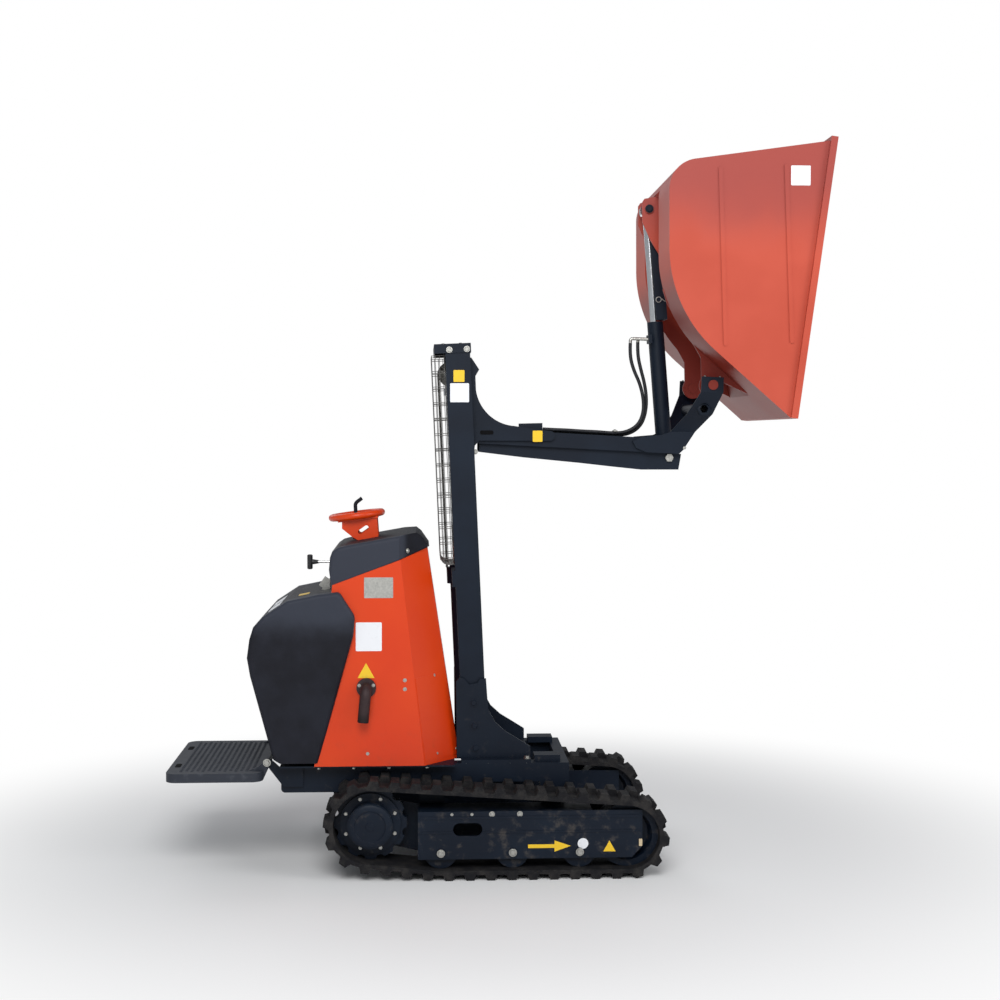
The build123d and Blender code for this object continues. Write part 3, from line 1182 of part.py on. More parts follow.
HOSE_PATHS = (
    ("hose_1", ((510, -50, 1917), (508, -50, 1872), (522, -50, 1818), (546, -50, 1768), (560, -50, 1712),
                (561, -50, 1658), (541, -50, 1610), (494, -50, 1583), (440, -50, 1581), (385, -50, 1586),
                (330, -50, 1588), (275, -50, 1592), (220, -50, 1594), (182, -50, 1596))),
    ("hose_2", ((540, -35.5, 1921), (539, -35.5, 1876), (551, -35.5, 1822), (566, -35.5, 1768), (574, -35.5, 1712),
                (571, -35.5, 1658), (553, -35.5, 1608), (509, -35.5, 1577), (455, -35.5, 1573), (400, -35.5, 1578),
                (345, -35.5, 1580), (290, -35.5, 1584), (236, -35.5, 1586), (182, -35.5, 1589))),
)
for name, points in HOSE_PATHS:
    radii = []
    for a, b, c in zip(points, points[1:], points[2:]):
        into, out = Vector(*b) - Vector(*a), Vector(*c) - Vector(*b)
        radii.append(0.45 * min(into.length, out.length) / tan(radians(into.get_angle(out)) / 2))
    with BuildPart() as hose:
        with BuildLine() as hose_path:
            FilletPolyline(*points, radius=radii)
        start, second = Vector(*points[0]), Vector(*points[1])
        with BuildSketch(Plane(origin=start, z_dir=second - start)):
            Circle(HOSE_R)
        sweep(path=hose_path.line)
    hose_long = hose_path.wires()[0].length
    print(name, "length", round(hose_long), "volume ratio", round(hose.part.volume / (pi * HOSE_R ** 2 * hose_long), 4))
    finish(hose, name)
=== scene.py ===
from math import cos, pi, radians, sin

import bmesh
import bpy
from mathutils import Matrix, Vector


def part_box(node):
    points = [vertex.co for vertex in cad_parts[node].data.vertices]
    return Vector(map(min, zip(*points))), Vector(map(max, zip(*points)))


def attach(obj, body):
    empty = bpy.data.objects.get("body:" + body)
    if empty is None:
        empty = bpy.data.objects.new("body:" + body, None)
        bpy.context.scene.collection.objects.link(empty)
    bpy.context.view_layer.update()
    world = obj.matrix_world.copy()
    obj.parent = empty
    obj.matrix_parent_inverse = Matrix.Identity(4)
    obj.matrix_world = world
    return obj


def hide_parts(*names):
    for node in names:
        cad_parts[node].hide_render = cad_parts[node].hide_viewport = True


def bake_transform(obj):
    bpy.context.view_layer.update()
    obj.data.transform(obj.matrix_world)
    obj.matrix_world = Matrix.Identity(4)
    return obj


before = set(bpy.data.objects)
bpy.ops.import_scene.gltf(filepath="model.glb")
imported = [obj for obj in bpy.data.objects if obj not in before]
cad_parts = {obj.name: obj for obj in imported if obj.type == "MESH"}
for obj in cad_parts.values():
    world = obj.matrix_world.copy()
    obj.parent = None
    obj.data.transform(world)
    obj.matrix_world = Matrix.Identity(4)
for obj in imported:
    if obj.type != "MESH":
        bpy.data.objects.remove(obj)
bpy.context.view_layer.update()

# Camera
# Stands beside the machine's right side at eye height, a little behind its middle, and
# looks level across it with a short telephoto lens.
camera_data = bpy.data.cameras.new("side_camera")
camera_data.sensor_width = 36
camera_data.lens = 57.9
camera = bpy.data.objects.new("side_camera", camera_data)
camera.location = (-0.276, -6.05, 1.57)
camera.rotation_euler = Vector((0.04961, 0.99798, -0.03977)).to_track_quat("-Z", "Y").to_euler()
bpy.context.collection.objects.link(camera)
bpy.context.scene.camera = camera


# Studio
# A pale floor that fades into a white surround, with a broad soft lamp over the camera's
# side, a weaker one ahead of the skip and one behind.
class Value:
    """A number in a material; a sum written with it adds the Math nodes it needs."""

    def __init__(self, look, socket):
        self.look, self.socket = look, socket

    def math(self, operation, first, second):
        made = self.look.node("ShaderNodeMath", {"operation": operation}, {0: first, 1: second})
        return Value(self.look, made.outputs[0])

    def __add__(self, other):
        return self.math("ADD", self, other)

    def __sub__(self, other):
        return self.math("SUBTRACT", self, other)

    def __rsub__(self, other):
        return self.math("SUBTRACT", other, self)

    def __mul__(self, other):
        return self.math("MULTIPLY", self, other)

    def __abs__(self):
        return self.math("ABSOLUTE", self, 0)

    __radd__, __rmul__ = __add__, __mul__


class Look:
    """A material; its pattern follows the object's own coordinates, in metres."""

    def __init__(self, name, **constants):
        self.material = bpy.data.materials.new(name)
        self.material.use_nodes = True
        self.tree = self.material.node_tree
        self.shader = self.tree.nodes["Principled BSDF"]
        for socket, value in constants.items():
            self.shader.inputs[socket.replace("_", " ")].default_value = value
        self.place = self.node("ShaderNodeTexCoord").outputs["Object"]

    def node(self, kind, settings={}, inputs={}):
        made = self.tree.nodes.new(kind)
        for name, value in settings.items():
            setattr(made, name, value)
        for key, value in inputs.items():
            self.feed(made.inputs[key], value)
        return made

    def feed(self, socket, value):
        source = value.socket if isinstance(value, Value) else value
        if isinstance(source, bpy.types.NodeSocket):
            self.tree.links.new(source, socket)
        else:
            socket.default_value = source

    def along(self, axis):
        """The place along X, Y or Z, in metres."""
        parts = self.node("ShaderNodeSeparateXYZ", {}, {"Vector": self.place})
        return Value(self, parts.outputs[axis])

    def noise(self, size, detail=2.0, rough=0.5, stretch=(1, 1, 1)):
        """Soft mottling from 0 to 1, with blotches of about a size in metres."""
        room = self.node("ShaderNodeMapping", {}, {"Vector": self.place, "Scale": stretch})
        made = self.node("ShaderNodeTexNoise", {}, {"Vector": room.outputs[0], "Scale": 1 / size,
                                                     "Detail": detail, "Roughness": rough})
        return Value(self, made.outputs["Fac"])

    def cells(self, size):
        """A grain of cells of about a size in metres, 0 at their edges."""
        made = self.node("ShaderNodeTexVoronoi", {"feature": "DISTANCE_TO_EDGE"},
                         {"Vector": self.place, "Scale": 1 / size})
        return Value(self, made.outputs["Distance"])

    def step(self, value, low, high):
        """0 below low, 1 above high and a smooth turn between; low may be the larger."""
        made = self.node("ShaderNodeMapRange", {"interpolation_type": "SMOOTHSTEP"},
                         {"Value": value, "From Min": low, "From Max": high})
        return Value(self, made.outputs[0])

    def mix(self, share, first, second):
        """The first colour where the share is 0, the second where it is 1."""
        made = self.node("ShaderNodeMix", {"data_type": "RGBA"}, {0: share, 6: first, 7: second})
        return made.outputs[2]

    def finish(self, colour=None, roughness=None, metallic=None, height=None, relief=0.0):
        """Feeds what varies over the surface; relief is the height in metres of a bump of 1."""
        for socket, value in (("Base Color", colour), ("Roughness", roughness), ("Metallic", metallic)):
            if value is not None:
                self.feed(self.shader.inputs[socket], value)
        if height is not None:
            bump = self.node("ShaderNodeBump", {}, {"Height": height, "Distance": relief, "Strength": 1.0})
            self.feed(self.shader.inputs["Normal"], bump.outputs[0])
        return self


def tone(red, green, blue):
    """A colour from its screen values."""
    return tuple(((c / 255 + 0.055) / 1.055) ** 2.4 for c in (red, green, blue)) + (1,)


FADE_START, FADE_END, FLOOR_HALF = 1.1, 2.8, 40
floor_mesh = bpy.data.meshes.new("floor")
floor_mesh.from_pydata([(x, y, 0) for x, y in ((-FLOOR_HALF, -FLOOR_HALF), (FLOOR_HALF, -FLOOR_HALF),
                                                (FLOOR_HALF, FLOOR_HALF), (-FLOOR_HALF, FLOOR_HALF))],
                       [], [(0, 1, 2, 3)])
floor = bpy.data.objects.new("floor", floor_mesh)
bpy.context.collection.objects.link(floor)
floor_look = Look("pale_floor", Roughness=0.9, Specular_IOR_Level=0.0)
floor_look.shader.inputs["Base Color"].default_value = (0.84, 0.84, 0.84, 1)
distance = floor_look.node("ShaderNodeVectorMath", {"operation": "LENGTH"}, {0: floor_look.place})
far = floor_look.step(Value(floor_look, distance.outputs["Value"]), FADE_START, FADE_END)
white = floor_look.node("ShaderNodeEmission", {}, {"Color": (1, 1, 1, 1), "Strength": 1.0})
fade = floor_look.node("ShaderNodeMixShader", {}, {0: far, 1: floor_look.shader.outputs[0], 2: white.outputs[0]})
floor_look.feed(floor_look.tree.nodes["Material Output"].inputs["Surface"], fade.outputs[0])
floor_mesh.materials.append(floor_look.material)

world = bpy.data.worlds.new("surround")
bpy.context.scene.world = world
world.use_nodes = True
sky = world.node_tree
rays = sky.nodes.new("ShaderNodeLightPath")
shown = sky.nodes.new("ShaderNodeMath")
shown.operation = "MAXIMUM"
surround = sky.nodes.new("ShaderNodeBackground")
surround.inputs["Strength"].default_value = 1.0
ambient = sky.nodes["Background"]
ambient.inputs["Color"].default_value = (0.93, 0.96, 1.0, 1)
ambient.inputs["Strength"].default_value = 0.38
choose = sky.nodes.new("ShaderNodeMixShader")
sky.links.new(rays.outputs["Is Camera Ray"], shown.inputs[0])
sky.links.new(rays.outputs["Is Transmission Ray"], shown.inputs[1])
surround.inputs["Color"].default_value = (1, 1, 1, 1)
sky.links.new(shown.outputs[0], choose.inputs[0])
sky.links.new(ambient.outputs[0], choose.inputs[1])
sky.links.new(surround.outputs[0], choose.inputs[2])
sky.links.new(choose.outputs[0], sky.nodes["World Output"].inputs["Surface"])

LAMPS = (
    # name, place, size, watts
    ("key_lamp", (-0.5, -5.2, 4.6), 3.6, 240),
    ("front_lamp", (5.0, -3.6, 3.4), 3.0, 105),
    ("rear_lamp", (-3.0, 5.0, 4.5), 4.0, 60),
)
for name, place, size, watts in LAMPS:
    lamp_data = bpy.data.lights.new(name, "AREA")
    lamp_data.shape, lamp_data.size, lamp_data.energy = "DISK", size, watts
    lamp = bpy.data.objects.new(name, lamp_data)
    lamp.location = place
    lamp.rotation_euler = (Vector((0, 0, 1.1)) - Vector(place)).to_track_quat("-Z", "Y").to_euler()
    bpy.context.collection.objects.link(lamp)
bpy.context.scene.view_settings.view_transform = "Standard"

# Hoses of the tip cylinder
# Two 13 mm hydraulic hoses: from the cylinder's elbows they drop in a loose S, turn forward
# between the beams and run back along the boom into the hose box. Smooth black rubber.
hose_look = Look("hose_rubber", Specular_IOR_Level=0.35)
scuff = hose_look.noise(0.03, 4)
hose_look.finish(colour=hose_look.mix(hose_look.step(scuff, 0.5, 0.8), tone(27, 29, 34), tone(44, 46, 51)),
                 roughness=0.42 + 0.2 * scuff, height=hose_look.noise(0.0016), relief=0.0001)

HOSE_RADIUS = 0.0065
HOSE_ROUTES = (
    # name, whole length, y, places along the route as (x, z)
    ("hose_1", 0.683, -0.050, ((0.510, 1.917), (0.508, 1.872), (0.522, 1.818), (0.546, 1.768), (0.560, 1.712),
                               (0.561, 1.658), (0.541, 1.610), (0.494, 1.583), (0.440, 1.581), (0.385, 1.586),
                               (0.330, 1.588), (0.275, 1.592), (0.220, 1.594), (0.182, 1.596))),
    ("hose_2", 0.698, -0.0355, ((0.540, 1.921), (0.539, 1.876), (0.551, 1.822), (0.566, 1.768), (0.574, 1.712),
                                (0.571, 1.658), (0.553, 1.608), (0.509, 1.577), (0.455, 1.573), (0.400, 1.578),
                                (0.345, 1.580), (0.290, 1.584), (0.236, 1.586), (0.182, 1.589))),
)


def finished(name, mesh, look, crease=0.6):
    """An object at the origin from a mesh, shaded smooth up to a crease, with its material."""
    mesh.polygons.foreach_set("use_smooth", [True] * len(mesh.polygons))
    mesh.set_sharp_from_angle(angle=crease)
    mesh.materials.clear()
    mesh.materials.append(look.material)
    made = bpy.data.objects.new(name, mesh)
    bpy.context.collection.objects.link(made)
    return made


def swept(name, points, radius, sides=4):
    """(mesh, line): a round bar along a smooth NURBS line through its control points."""
    curve = bpy.data.curves.new(name, "CURVE")
    curve.dimensions = "3D"
    curve.resolution_u = 6
    spline = curve.splines.new("NURBS")
    spline.points.add(len(points) - 1)
    for point, place in zip(spline.points, points):
        point.co = (*place, 1)
    spline.order_u = 3
    spline.use_endpoint_u = True
    holder = bpy.data.objects.new(name + "_line", curve)
    bpy.context.collection.objects.link(holder)
    curve.bevel_depth = 0
    bpy.context.view_layer.update()
    graph = bpy.context.evaluated_depsgraph_get()
    line = [v.co.copy() for v in bpy.data.meshes.new_from_object(holder.evaluated_get(graph)).vertices]
    curve.bevel_depth, curve.bevel_resolution, curve.use_fill_caps = radius, sides, True
    bpy.context.view_layer.update()
    graph = bpy.context.evaluated_depsgraph_get()
    mesh = bpy.data.meshes.new_from_object(holder.evaluated_get(graph))
    bpy.data.objects.remove(holder)
    return mesh, line


for name, length, y, route in HOSE_ROUTES:
    mesh, line = swept(name, [(x, y, z) for x, z in route], HOSE_RADIUS, 5)
    hose = finished(name + "_rubber", mesh, hose_look)
    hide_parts(name)
    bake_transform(hose)

# Rubber tracks
# Each belt is one endless band of black rubber over steel cords, with moulded lugs. The
# rubber is dull, and its lugs hold dry dust and pale scuffs.
rubber_look = Look("track_rubber", Specular_IOR_Level=0.25)
dust = rubber_look.noise(0.05, 5, 0.62)
grit = rubber_look.noise(0.004, 3)
dusty = rubber_look.step(dust + 0.25 * grit, 0.52, 0.86)
rubber_look.finish(colour=rubber_look.mix(dusty, tone(17, 17, 21), tone(46, 44, 43)),
                   roughness=0.72 + 0.18 * dust, height=grit + dust, relief=0.0012)


def wear(look, *nodes):
    """Gives the CAD pieces their material and leaves their meshes alone."""
    for node in nodes:
        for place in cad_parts[node].material_slots:
            place.link = "OBJECT"
            place.material = look.material


wear(rubber_look, "track_right", "track_left")

# Track frames, rollers, idlers and sprockets
# Pressed and welded steel side plates with the bottom rollers' axle bolts through them, all
# under the same blue-black powder coat.
black_look = Look("black_paint", Specular_IOR_Level=0.2)
peel = black_look.noise(0.0022, 2)
patch = black_look.noise(0.22, 4)
film = black_look.step(black_look.noise(0.035, 6, 0.6) + 0.35 * black_look.noise(0.6), 0.72, 0.98)
settled = film * black_look.step(black_look.along("Z"), 0.9, 0.05)
clean = black_look.mix(black_look.step(patch, 0.35, 0.7), tone(11, 20, 33), tone(15, 26, 40))
black_look.finish(colour=black_look.mix(0.55 * settled, clean, tone(88, 82, 76)),
                  roughness=0.40 + 0.14 * patch + 0.3 * settled, height=peel, relief=0.00012)
wear(black_look, "track_frame_right", "track_frame_left", "rollers_right", "rollers_left", "idler_right",
     "idler_left", "sprocket_right", "sprocket_left")

bolt_look = Look("zinc_plate", Metallic=1.0)
stain = bolt_look.noise(0.006, 3)
bolt_look.finish(colour=bolt_look.mix(stain, tone(150, 150, 146), tone(205, 204, 198)),
                 roughness=0.28 + 0.22 * stain, height=bolt_look.noise(0.0008), relief=0.00006)


def facing(place, normal, up=(0, 0, 1)):
    """A place whose local Z is the normal and whose local Y leans to up."""
    z = Vector(normal).normalized()
    x = Vector(up).cross(z)
    x = x.normalized() if x.length > 1e-4 else Vector((1, 0, 0))
    turn = Matrix((x, z.cross(x), z)).transposed().to_4x4()
    return Matrix.Translation(place) @ turn


def slab(shape, outline, place, thick):
    """A flat plate: the outline in local X and Y, raised along local Z."""
    low = [shape.verts.new(place @ Vector((u, v, 0))) for u, v in outline]
    high = [shape.verts.new(place @ Vector((u, v, thick))) for u, v in outline]
    shape.faces.new(low[::-1])
    shape.faces.new(high)
    for i in range(len(low)):
        j = (i + 1) % len(low)
        shape.faces.new((low[i], low[j], high[j], high[i]))


def turned(shape, profile, place, sides=24):
    """A turned shape: (radius, height) pairs about local Z, closed where the radius is 0."""
    rings = []
    for radius, height in profile:
        count = sides if radius else 1
        rings.append([shape.verts.new(place @ Vector((radius * cos(2 * pi * i / sides),
                                                      radius * sin(2 * pi * i / sides), height)))
                      for i in range(count)])
    for low, high in zip(rings, rings[1:]):
        for i in range(sides):
            j = (i + 1) % sides
            corners = dict.fromkeys((low[i % len(low)], low[j % len(low)],
                                     high[j % len(high)], high[i % len(high)]))
            if len(corners) > 2:
                shape.faces.new(corners)


def made_piece(name, shape, look, body, crease=0.6):
    """A finished piece from a bmesh that rides on a body."""
    bmesh.ops.recalc_face_normals(shape, faces=shape.faces)
    mesh = bpy.data.meshes.new(name)
    shape.to_mesh(mesh)
    shape.free()
    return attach(finished(name, mesh, look, crease), body)


class Tree:
    """A Geometry Nodes group with named inputs."""

    def __init__(self, name, sizes):
        self.group = bpy.data.node_groups.new(name, "GeometryNodeTree")
        self.group.interface.new_socket("Geometry", in_out="OUTPUT", socket_type="NodeSocketGeometry")
        for label, kind in [("Geometry", "Geometry"), *sizes, ("Material", "Material")]:
            self.group.interface.new_socket(label, in_out="INPUT", socket_type="NodeSocket" + kind)
        self.given = self.group.nodes.new("NodeGroupInput").outputs

    def node(self, kind, settings={}, inputs={}):
        made = self.group.nodes.new(kind)
        for name, value in settings.items():
            setattr(made, name, value)
        for key, value in inputs.items():
            if isinstance(value, bpy.types.NodeSocket):
                self.group.links.new(value, made.inputs[key])
            else:
                made.inputs[key].default_value = value
        return made.outputs

    def close(self, geometry):
        """Realizes the instances, sets the material and leads out."""
        real = self.node("GeometryNodeRealizeInstances", {}, {"Geometry": geometry})
        painted = self.node("GeometryNodeSetMaterial", {}, {"Geometry": real[0], "Material": self.given["Material"]})
        self.node("NodeGroupOutput", {}, {"Geometry": painted[0]})

    def grow(self, name, base, look, slot, body, crease=0.6, **sizes):
        """Runs the tree on a base mesh and leaves a plain mesh that rides on a body."""
        maker = bpy.data.objects.new(name + "_maker", base)
        bpy.context.collection.objects.link(maker)
        modifier = maker.modifiers.new("shape", "NODES")
        modifier.node_group = self.group
        sizes["Material"] = look.material
        for socket in self.group.interface.items_tree:
            if socket.in_out == "INPUT" and socket.name in sizes:
                modifier[socket.identifier] = sizes[socket.name]
        bpy.context.view_layer.update()
        graph = bpy.context.evaluated_depsgraph_get()
        mesh = bpy.data.meshes.new_from_object(maker.evaluated_get(graph))
        bpy.data.objects.remove(maker)
        made = finished(name, mesh, look, crease)
        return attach(made, body) if body else made


# copies of a small part at points, turned to each point's facing
copies = Tree("copies", [("Part", "Object")])
facing_of = copies.node("GeometryNodeInputNamedAttribute", {"data_type": "FLOAT_VECTOR"}, {"Name": "facing"})
leaning = copies.node("GeometryNodeInputNamedAttribute", {"data_type": "FLOAT_VECTOR"}, {"Name": "leaning"})
size_of = copies.node("GeometryNodeInputNamedAttribute", {"data_type": "FLOAT"}, {"Name": "size"})
upright = copies.node("FunctionNodeAlignRotationToVector", {"axis": "Z"}, {"Vector": facing_of[0]})
turned_to = copies.node("FunctionNodeAlignRotationToVector", {"axis": "X", "pivot_axis": "Z"},
                        {"Rotation": upright[0], "Vector": leaning[0]})
part = copies.node("GeometryNodeObjectInfo", {"transform_space": "ORIGINAL"}, {"Object": copies.given["Part"]})
placed = copies.node("GeometryNodeInstanceOnPoints", {},
                     {"Points": copies.given["Geometry"], "Instance": part["Geometry"],
                      "Rotation": turned_to[0], "Scale": size_of[0]})
copies.close(placed[0])


def set_out(name, part_shape, places, look, slot, body, crease=0.6):
    """Copies of a small part at (place, facing, leaning, size)."""
    part_mesh = bpy.data.meshes.new(name + "_part")
    bmesh.ops.recalc_face_normals(part_shape, faces=part_shape.faces)
    part_shape.to_mesh(part_mesh)
    part_shape.free()
    part_object = bpy.data.objects.new(name + "_part", part_mesh)
    bpy.context.collection.objects.link(part_object)
    base = bpy.data.meshes.new(name + "_points")
    base.from_pydata([place for place, _, _, _ in places], [], [])
    for column, label in ((1, "facing"), (2, "leaning")):
        values = base.attributes.new(label, "FLOAT_VECTOR", "POINT").data
        values.foreach_set("vector", [c for row in places for c in row[column]])
    base.attributes.new("size", "FLOAT", "POINT").data.foreach_set("value", [row[3] for row in places])
    made = copies.grow(name, base, look, slot, body, crease, Part=part_object)
    bpy.data.objects.remove(part_object)
    return made


def hex_bolt(washer=1.35, tall=0.6):
    """A chamfered hexagon head on its washer, for a bolt 1 across the corners' radius."""
    shape = bmesh.new()
    turned(shape, ((0, 0), (washer, 0), (washer, 0.16), (0, 0.16)), Matrix(), 20)
    turned(shape, ((0, 0.1), (0.98, 0.1), (1.0, 0.2), (1.0, tall), (0.86, tall + 0.12), (0, tall + 0.12)), Matrix(), 6)
    return shape


def bolts(name, places, body, look=bolt_look, slot="bare_steel", **head):
    """Bolt heads from (place, facing, radius) rows."""
    rows = [(place, normal, (normal[2] + 0.3, 0.2, normal[0] + 0.5), radius) for place, normal, radius in places]
    return set_out(name, hex_bolt(**head), rows, look, slot, body)


def both_sides(rows):
    """The rows and their mirror images on the left side."""
    return rows + [((x, -y, z), (nx, -ny, nz), radius) for (x, y, z), (nx, ny, nz), radius in rows]


frame_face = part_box("track_frame_right")[0].y
ROLLER_XS, ROLLER_Z = (-0.205, 0.050, 0.288), 0.095
RIGHT, UP, DOWN = (0, -1, 0), (0, 0, 1), (0, 0, -1)
bolts("roller_bolts", both_sides([((x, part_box("rollers_right")[0].y, ROLLER_Z), RIGHT, 0.011) for x in ROLLER_XS]),
      "machine", washer=1.3)
sprocket_low, sprocket_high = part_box("sprocket_right")
hub_x, hub_z = (sprocket_low.x + sprocket_high.x) / 2, (sprocket_low.z + sprocket_high.z) / 2
RING_FACE, RING_BOLTS, RING_BOLT_R = -0.366, 8, 0.094
bolts("sprocket_bolts", both_sides([((hub_x + RING_BOLT_R * cos(pi / 8 + 2 * pi * i / RING_BOLTS), RING_FACE,
                                      hub_z + RING_BOLT_R * sin(pi / 8 + 2 * pi * i / RING_BOLTS)), RIGHT, 0.0068)
                                    for i in range(RING_BOLTS)]), "machine", washer=1.0)
bolts("frame_bolts", both_sides([((x, frame_face, z), RIGHT, r) for x, z, r in
                                 ((-0.024, 0.232, 0.0075), (0.075, 0.232, 0.0075), (-0.166, 0.232, 0.004),
                                  (-0.095, 0.232, 0.004))]), "machine")

# pressed ridges along the plates, and the hub cover's rim
ridges = bmesh.new()
RIDGES = (
    # rear end, front end, z, half height; the lower one stops at the slot
    (-0.280, 0.506, 0.2195, 0.0045),
    (-0.280, -0.166, 0.1675, 0.0035),
    (-0.054, 0.506, 0.1675, 0.0035),
)
for side in (-1, 1):
    for left, right, z, half in RIDGES:
        long = (right - left) / 2
        slab(ridges, [(-long, -half), (long, -half), (long, half), (-long, half)],
             facing(((left + right) / 2, side * abs(frame_face), z), (0, side, 0)), 0.0022)
made_piece("frame_ridges", ridges, black_look, "machine")
covers = bmesh.new()
HUB_FACE, HUB_R = 0.414, 0.078
for side in (-1, 1):
    place = facing((hub_x, side * (HUB_FACE - 0.001), hub_z), (0, side, 0))
    turned(covers, ((0, 0), (HUB_R - 0.002, 0), (HUB_R - 0.002, 0.004), (HUB_R - 0.008, 0.0075),
                    (0.056, 0.0075), (0.053, 0.0045), (0.016, 0.0045), (0.014, 0.0065), (0, 0.0065)), place, 48)
made_piece("hub_covers", covers, black_look, "machine")


# coloured plates with rounded corners and nothing printed on them
def sticker_look(name, colour):
    """Coloured film with a little soil on it."""
    look = Look(name, Specular_IOR_Level=0.4)
    soil = look.step(look.noise(0.02, 5), 0.55, 0.85)
    return look.finish(colour=look.mix(0.25 * soil, colour, tone(110, 108, 104)), roughness=0.34 + 0.2 * soil,
                       height=look.noise(0.012), relief=0.0001)


yellow_look = sticker_look("yellow_film", tone(232, 190, 40))
white_look = sticker_look("white_film", tone(226, 228, 232))


def rounded(wide, tall, radius, steps=4):
    """Corner points of a rounded rectangle about the middle."""
    points = []
    for cx, cy, start in ((wide / 2 - radius, tall / 2 - radius, 0), (radius - wide / 2, tall / 2 - radius, 90),
                          (radius - wide / 2, radius - tall / 2, 180), (wide / 2 - radius, radius - tall / 2, 270)):
        for k in range(steps + 1):
            angle = radians(start + 90 * k / steps)
            points.append((cx + radius * cos(angle), cy + radius * sin(angle)))
    return points


def disc(radius, sides=32):
    """Corner points of a circle."""
    return [(radius * cos(2 * pi * k / sides), radius * sin(2 * pi * k / sides)) for k in range(sides)]


FILM = 0.0005


def films(name, body, look, rows):
    """Thin plates from (outline, place, facing) rows; local X runs level to the right."""
    shape = bmesh.new()
    for outline, place, normal in rows:
        seat = facing(place, normal)
        slab(shape, outline, seat @ Matrix.Translation((0, 0, -FILM / 2)), 1.5 * FILM)
    return made_piece(name, shape, look, body)


ARROW = ((-0.076, -0.0065), (0.018, -0.0065), (0.018, -0.020), (0.076, 0),
         (0.018, 0.020), (0.018, 0.0065), (-0.076, 0.0065))
TRIANGLE = ((-0.022, -0.018), (0.022, -0.018), (0, 0.021))
films("frame_marks_yellow", "machine", yellow_look,
      [(ARROW, (0.180, frame_face, 0.1155), RIGHT), (TRIANGLE, (0.394, frame_face, 0.112), RIGHT)])
clip = bmesh.new()
for side in (-1, 1):
    slab(clip, rounded(0.012, 0.026, 0.003), facing((0.505, side * abs(frame_face), 0.1255), (0, side, 0)), 0.004)
made_piece("frame_clips", clip, sticker_look("beige_cap", tone(196, 178, 146)), "machine")
films("frame_marks_white", "machine", white_look,
      [(disc(0.019), (0.2997, frame_face, 0.1235), RIGHT)])

# Chassis, deck and the box under the step
# Welded box-section members and cross beams carry the deck plate; the rear box is folded
# sheet. Deck bolts hang below the hood's edge.
wear(black_look, "chassis", "cross_members", "cross_beams", "deck_plate", "rear_box")
bolts("deck_bolts", both_sides([((x, -0.288, 0.380), DOWN, 0.0065) for x in (-0.641, -0.516, -0.390, -0.253)]),
      "machine", washer=1.5, tall=0.9)
bolts("foot_bolts", both_sides([((x, -0.236, 0.380), DOWN, 0.006) for x in (-0.11, -0.03, 0.05, 0.11)])
      + both_sides([((0.112, -0.220, 0.392), UP, 0.010)]), "machine", tall=0.8)

# Folding step
# A pressed tray with rows of raised studs, hinged on two bolts between the brackets.
step_look = Look("step_paint", Specular_IOR_Level=0.32)
tread = step_look.noise(0.03, 5)
worn = step_look.step(tread, 0.5, 0.85)
step_look.finish(colour=step_look.mix(worn, tone(44, 48, 57), tone(74, 77, 84)), roughness=0.5 + 0.2 * tread,
                 height=step_look.noise(0.002), relief=0.0002)
wear(step_look, "platform")
wear(black_look, "platform_bracket")
step_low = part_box("platform")[0]
STEP_TOP, STUD_PITCH, STUD_R = 0.366, 0.0225, 0.0058
stud = bmesh.new()
turned(stud, ((0, -0.0002), (1, -0.0002), (0.8, 0.42), (0.42, 0.42), (0.36, 0.12), (0, 0.12)), Matrix(), 10)
rows, row = [], 0
x = step_low.x + 0.052
while x < -0.865:
    y = -0.270 + (row % 2) * STUD_PITCH / 2
    while y < 0.272:
        rows.append(((x, y, STEP_TOP), UP, (1, 0, 0), STUD_R))
        y += STUD_PITCH
    x, row = x + STUD_PITCH * 0.87, row + 1
set_out("step_studs", stud, rows, step_look, "black_paint", "platform", 0.5)
# the step's slots are dark sheets laid on the tray: painted shade where the holes' shaded insides are
slots = bmesh.new()
for side in (-1, 1):
    slab(slots, rounded(0.020, 0.062, 0.009),
         facing((step_low.x + 0.028, side * 0.165, STEP_TOP - 0.0002), UP, (0, 1, 0)), 0.0012)
dark_look = Look("painted_slot_shade_and_dark_pads", Specular_IOR_Level=0.1)
dark_look.finish(colour=dark_look.mix(dark_look.noise(0.01), tone(10, 10, 12), tone(16, 16, 18)), roughness=0.9)
made_piece("step_slots", slots, dark_look, "platform")
bolts("step_hinge_bolts", both_sides([((-0.829, -0.2655, 0.394), RIGHT, 0.0105)]), "platform", tall=0.7)

# Mast
# Two channel rails with welded gussets on the foot plate, a folded cap and two ties. The
# rails lean back with the mast, so its own frame is used for what follows them.
wear(black_look, "mast_rails", "mast_base", "mast_cap")
RAKE, MAST_FOOT = radians(2.5), Vector((-0.073, 0, 0.380))
mast = Matrix.Translation(MAST_FOOT) @ Matrix.Rotation(-RAKE, 4, "Y")
mast_up = tuple(mast.to_3x3() @ Vector(UP))
MAST_SIDE = 0.178
GUSSET_BOLTS = ((-0.081, 0.592), (-0.078, 0.507), (-0.074, 0.425))
bolts("gusset_bolts", both_sides([((x, -0.190, z), RIGHT, 0.011) for x, z in GUSSET_BOLTS]), "machine", black_look,
      "black_paint", washer=1.5, tall=0.5)
cap_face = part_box("mast_cap")[0].y
bolts("cap_bolts", both_sides([((x, cap_face, z), RIGHT, 0.0085)
                               for x, z in ((-0.169, 1.8835), (-0.105, 1.8865))]), "machine")
cap_top = [mast @ Vector((x, y, 1.5283)) for x in (-0.052, 0.012) for y in (-0.157, 0.157)]
bolts("cap_top_bolts", [(tuple(p), mast_up, 0.0055) for p in cap_top], "machine", tall=0.45)
films("mast_marks_yellow", "machine", yellow_look,
      [(rounded(0.040, 0.043, 0.003), (-0.1337, -MAST_SIDE, 1.7884), RIGHT)])
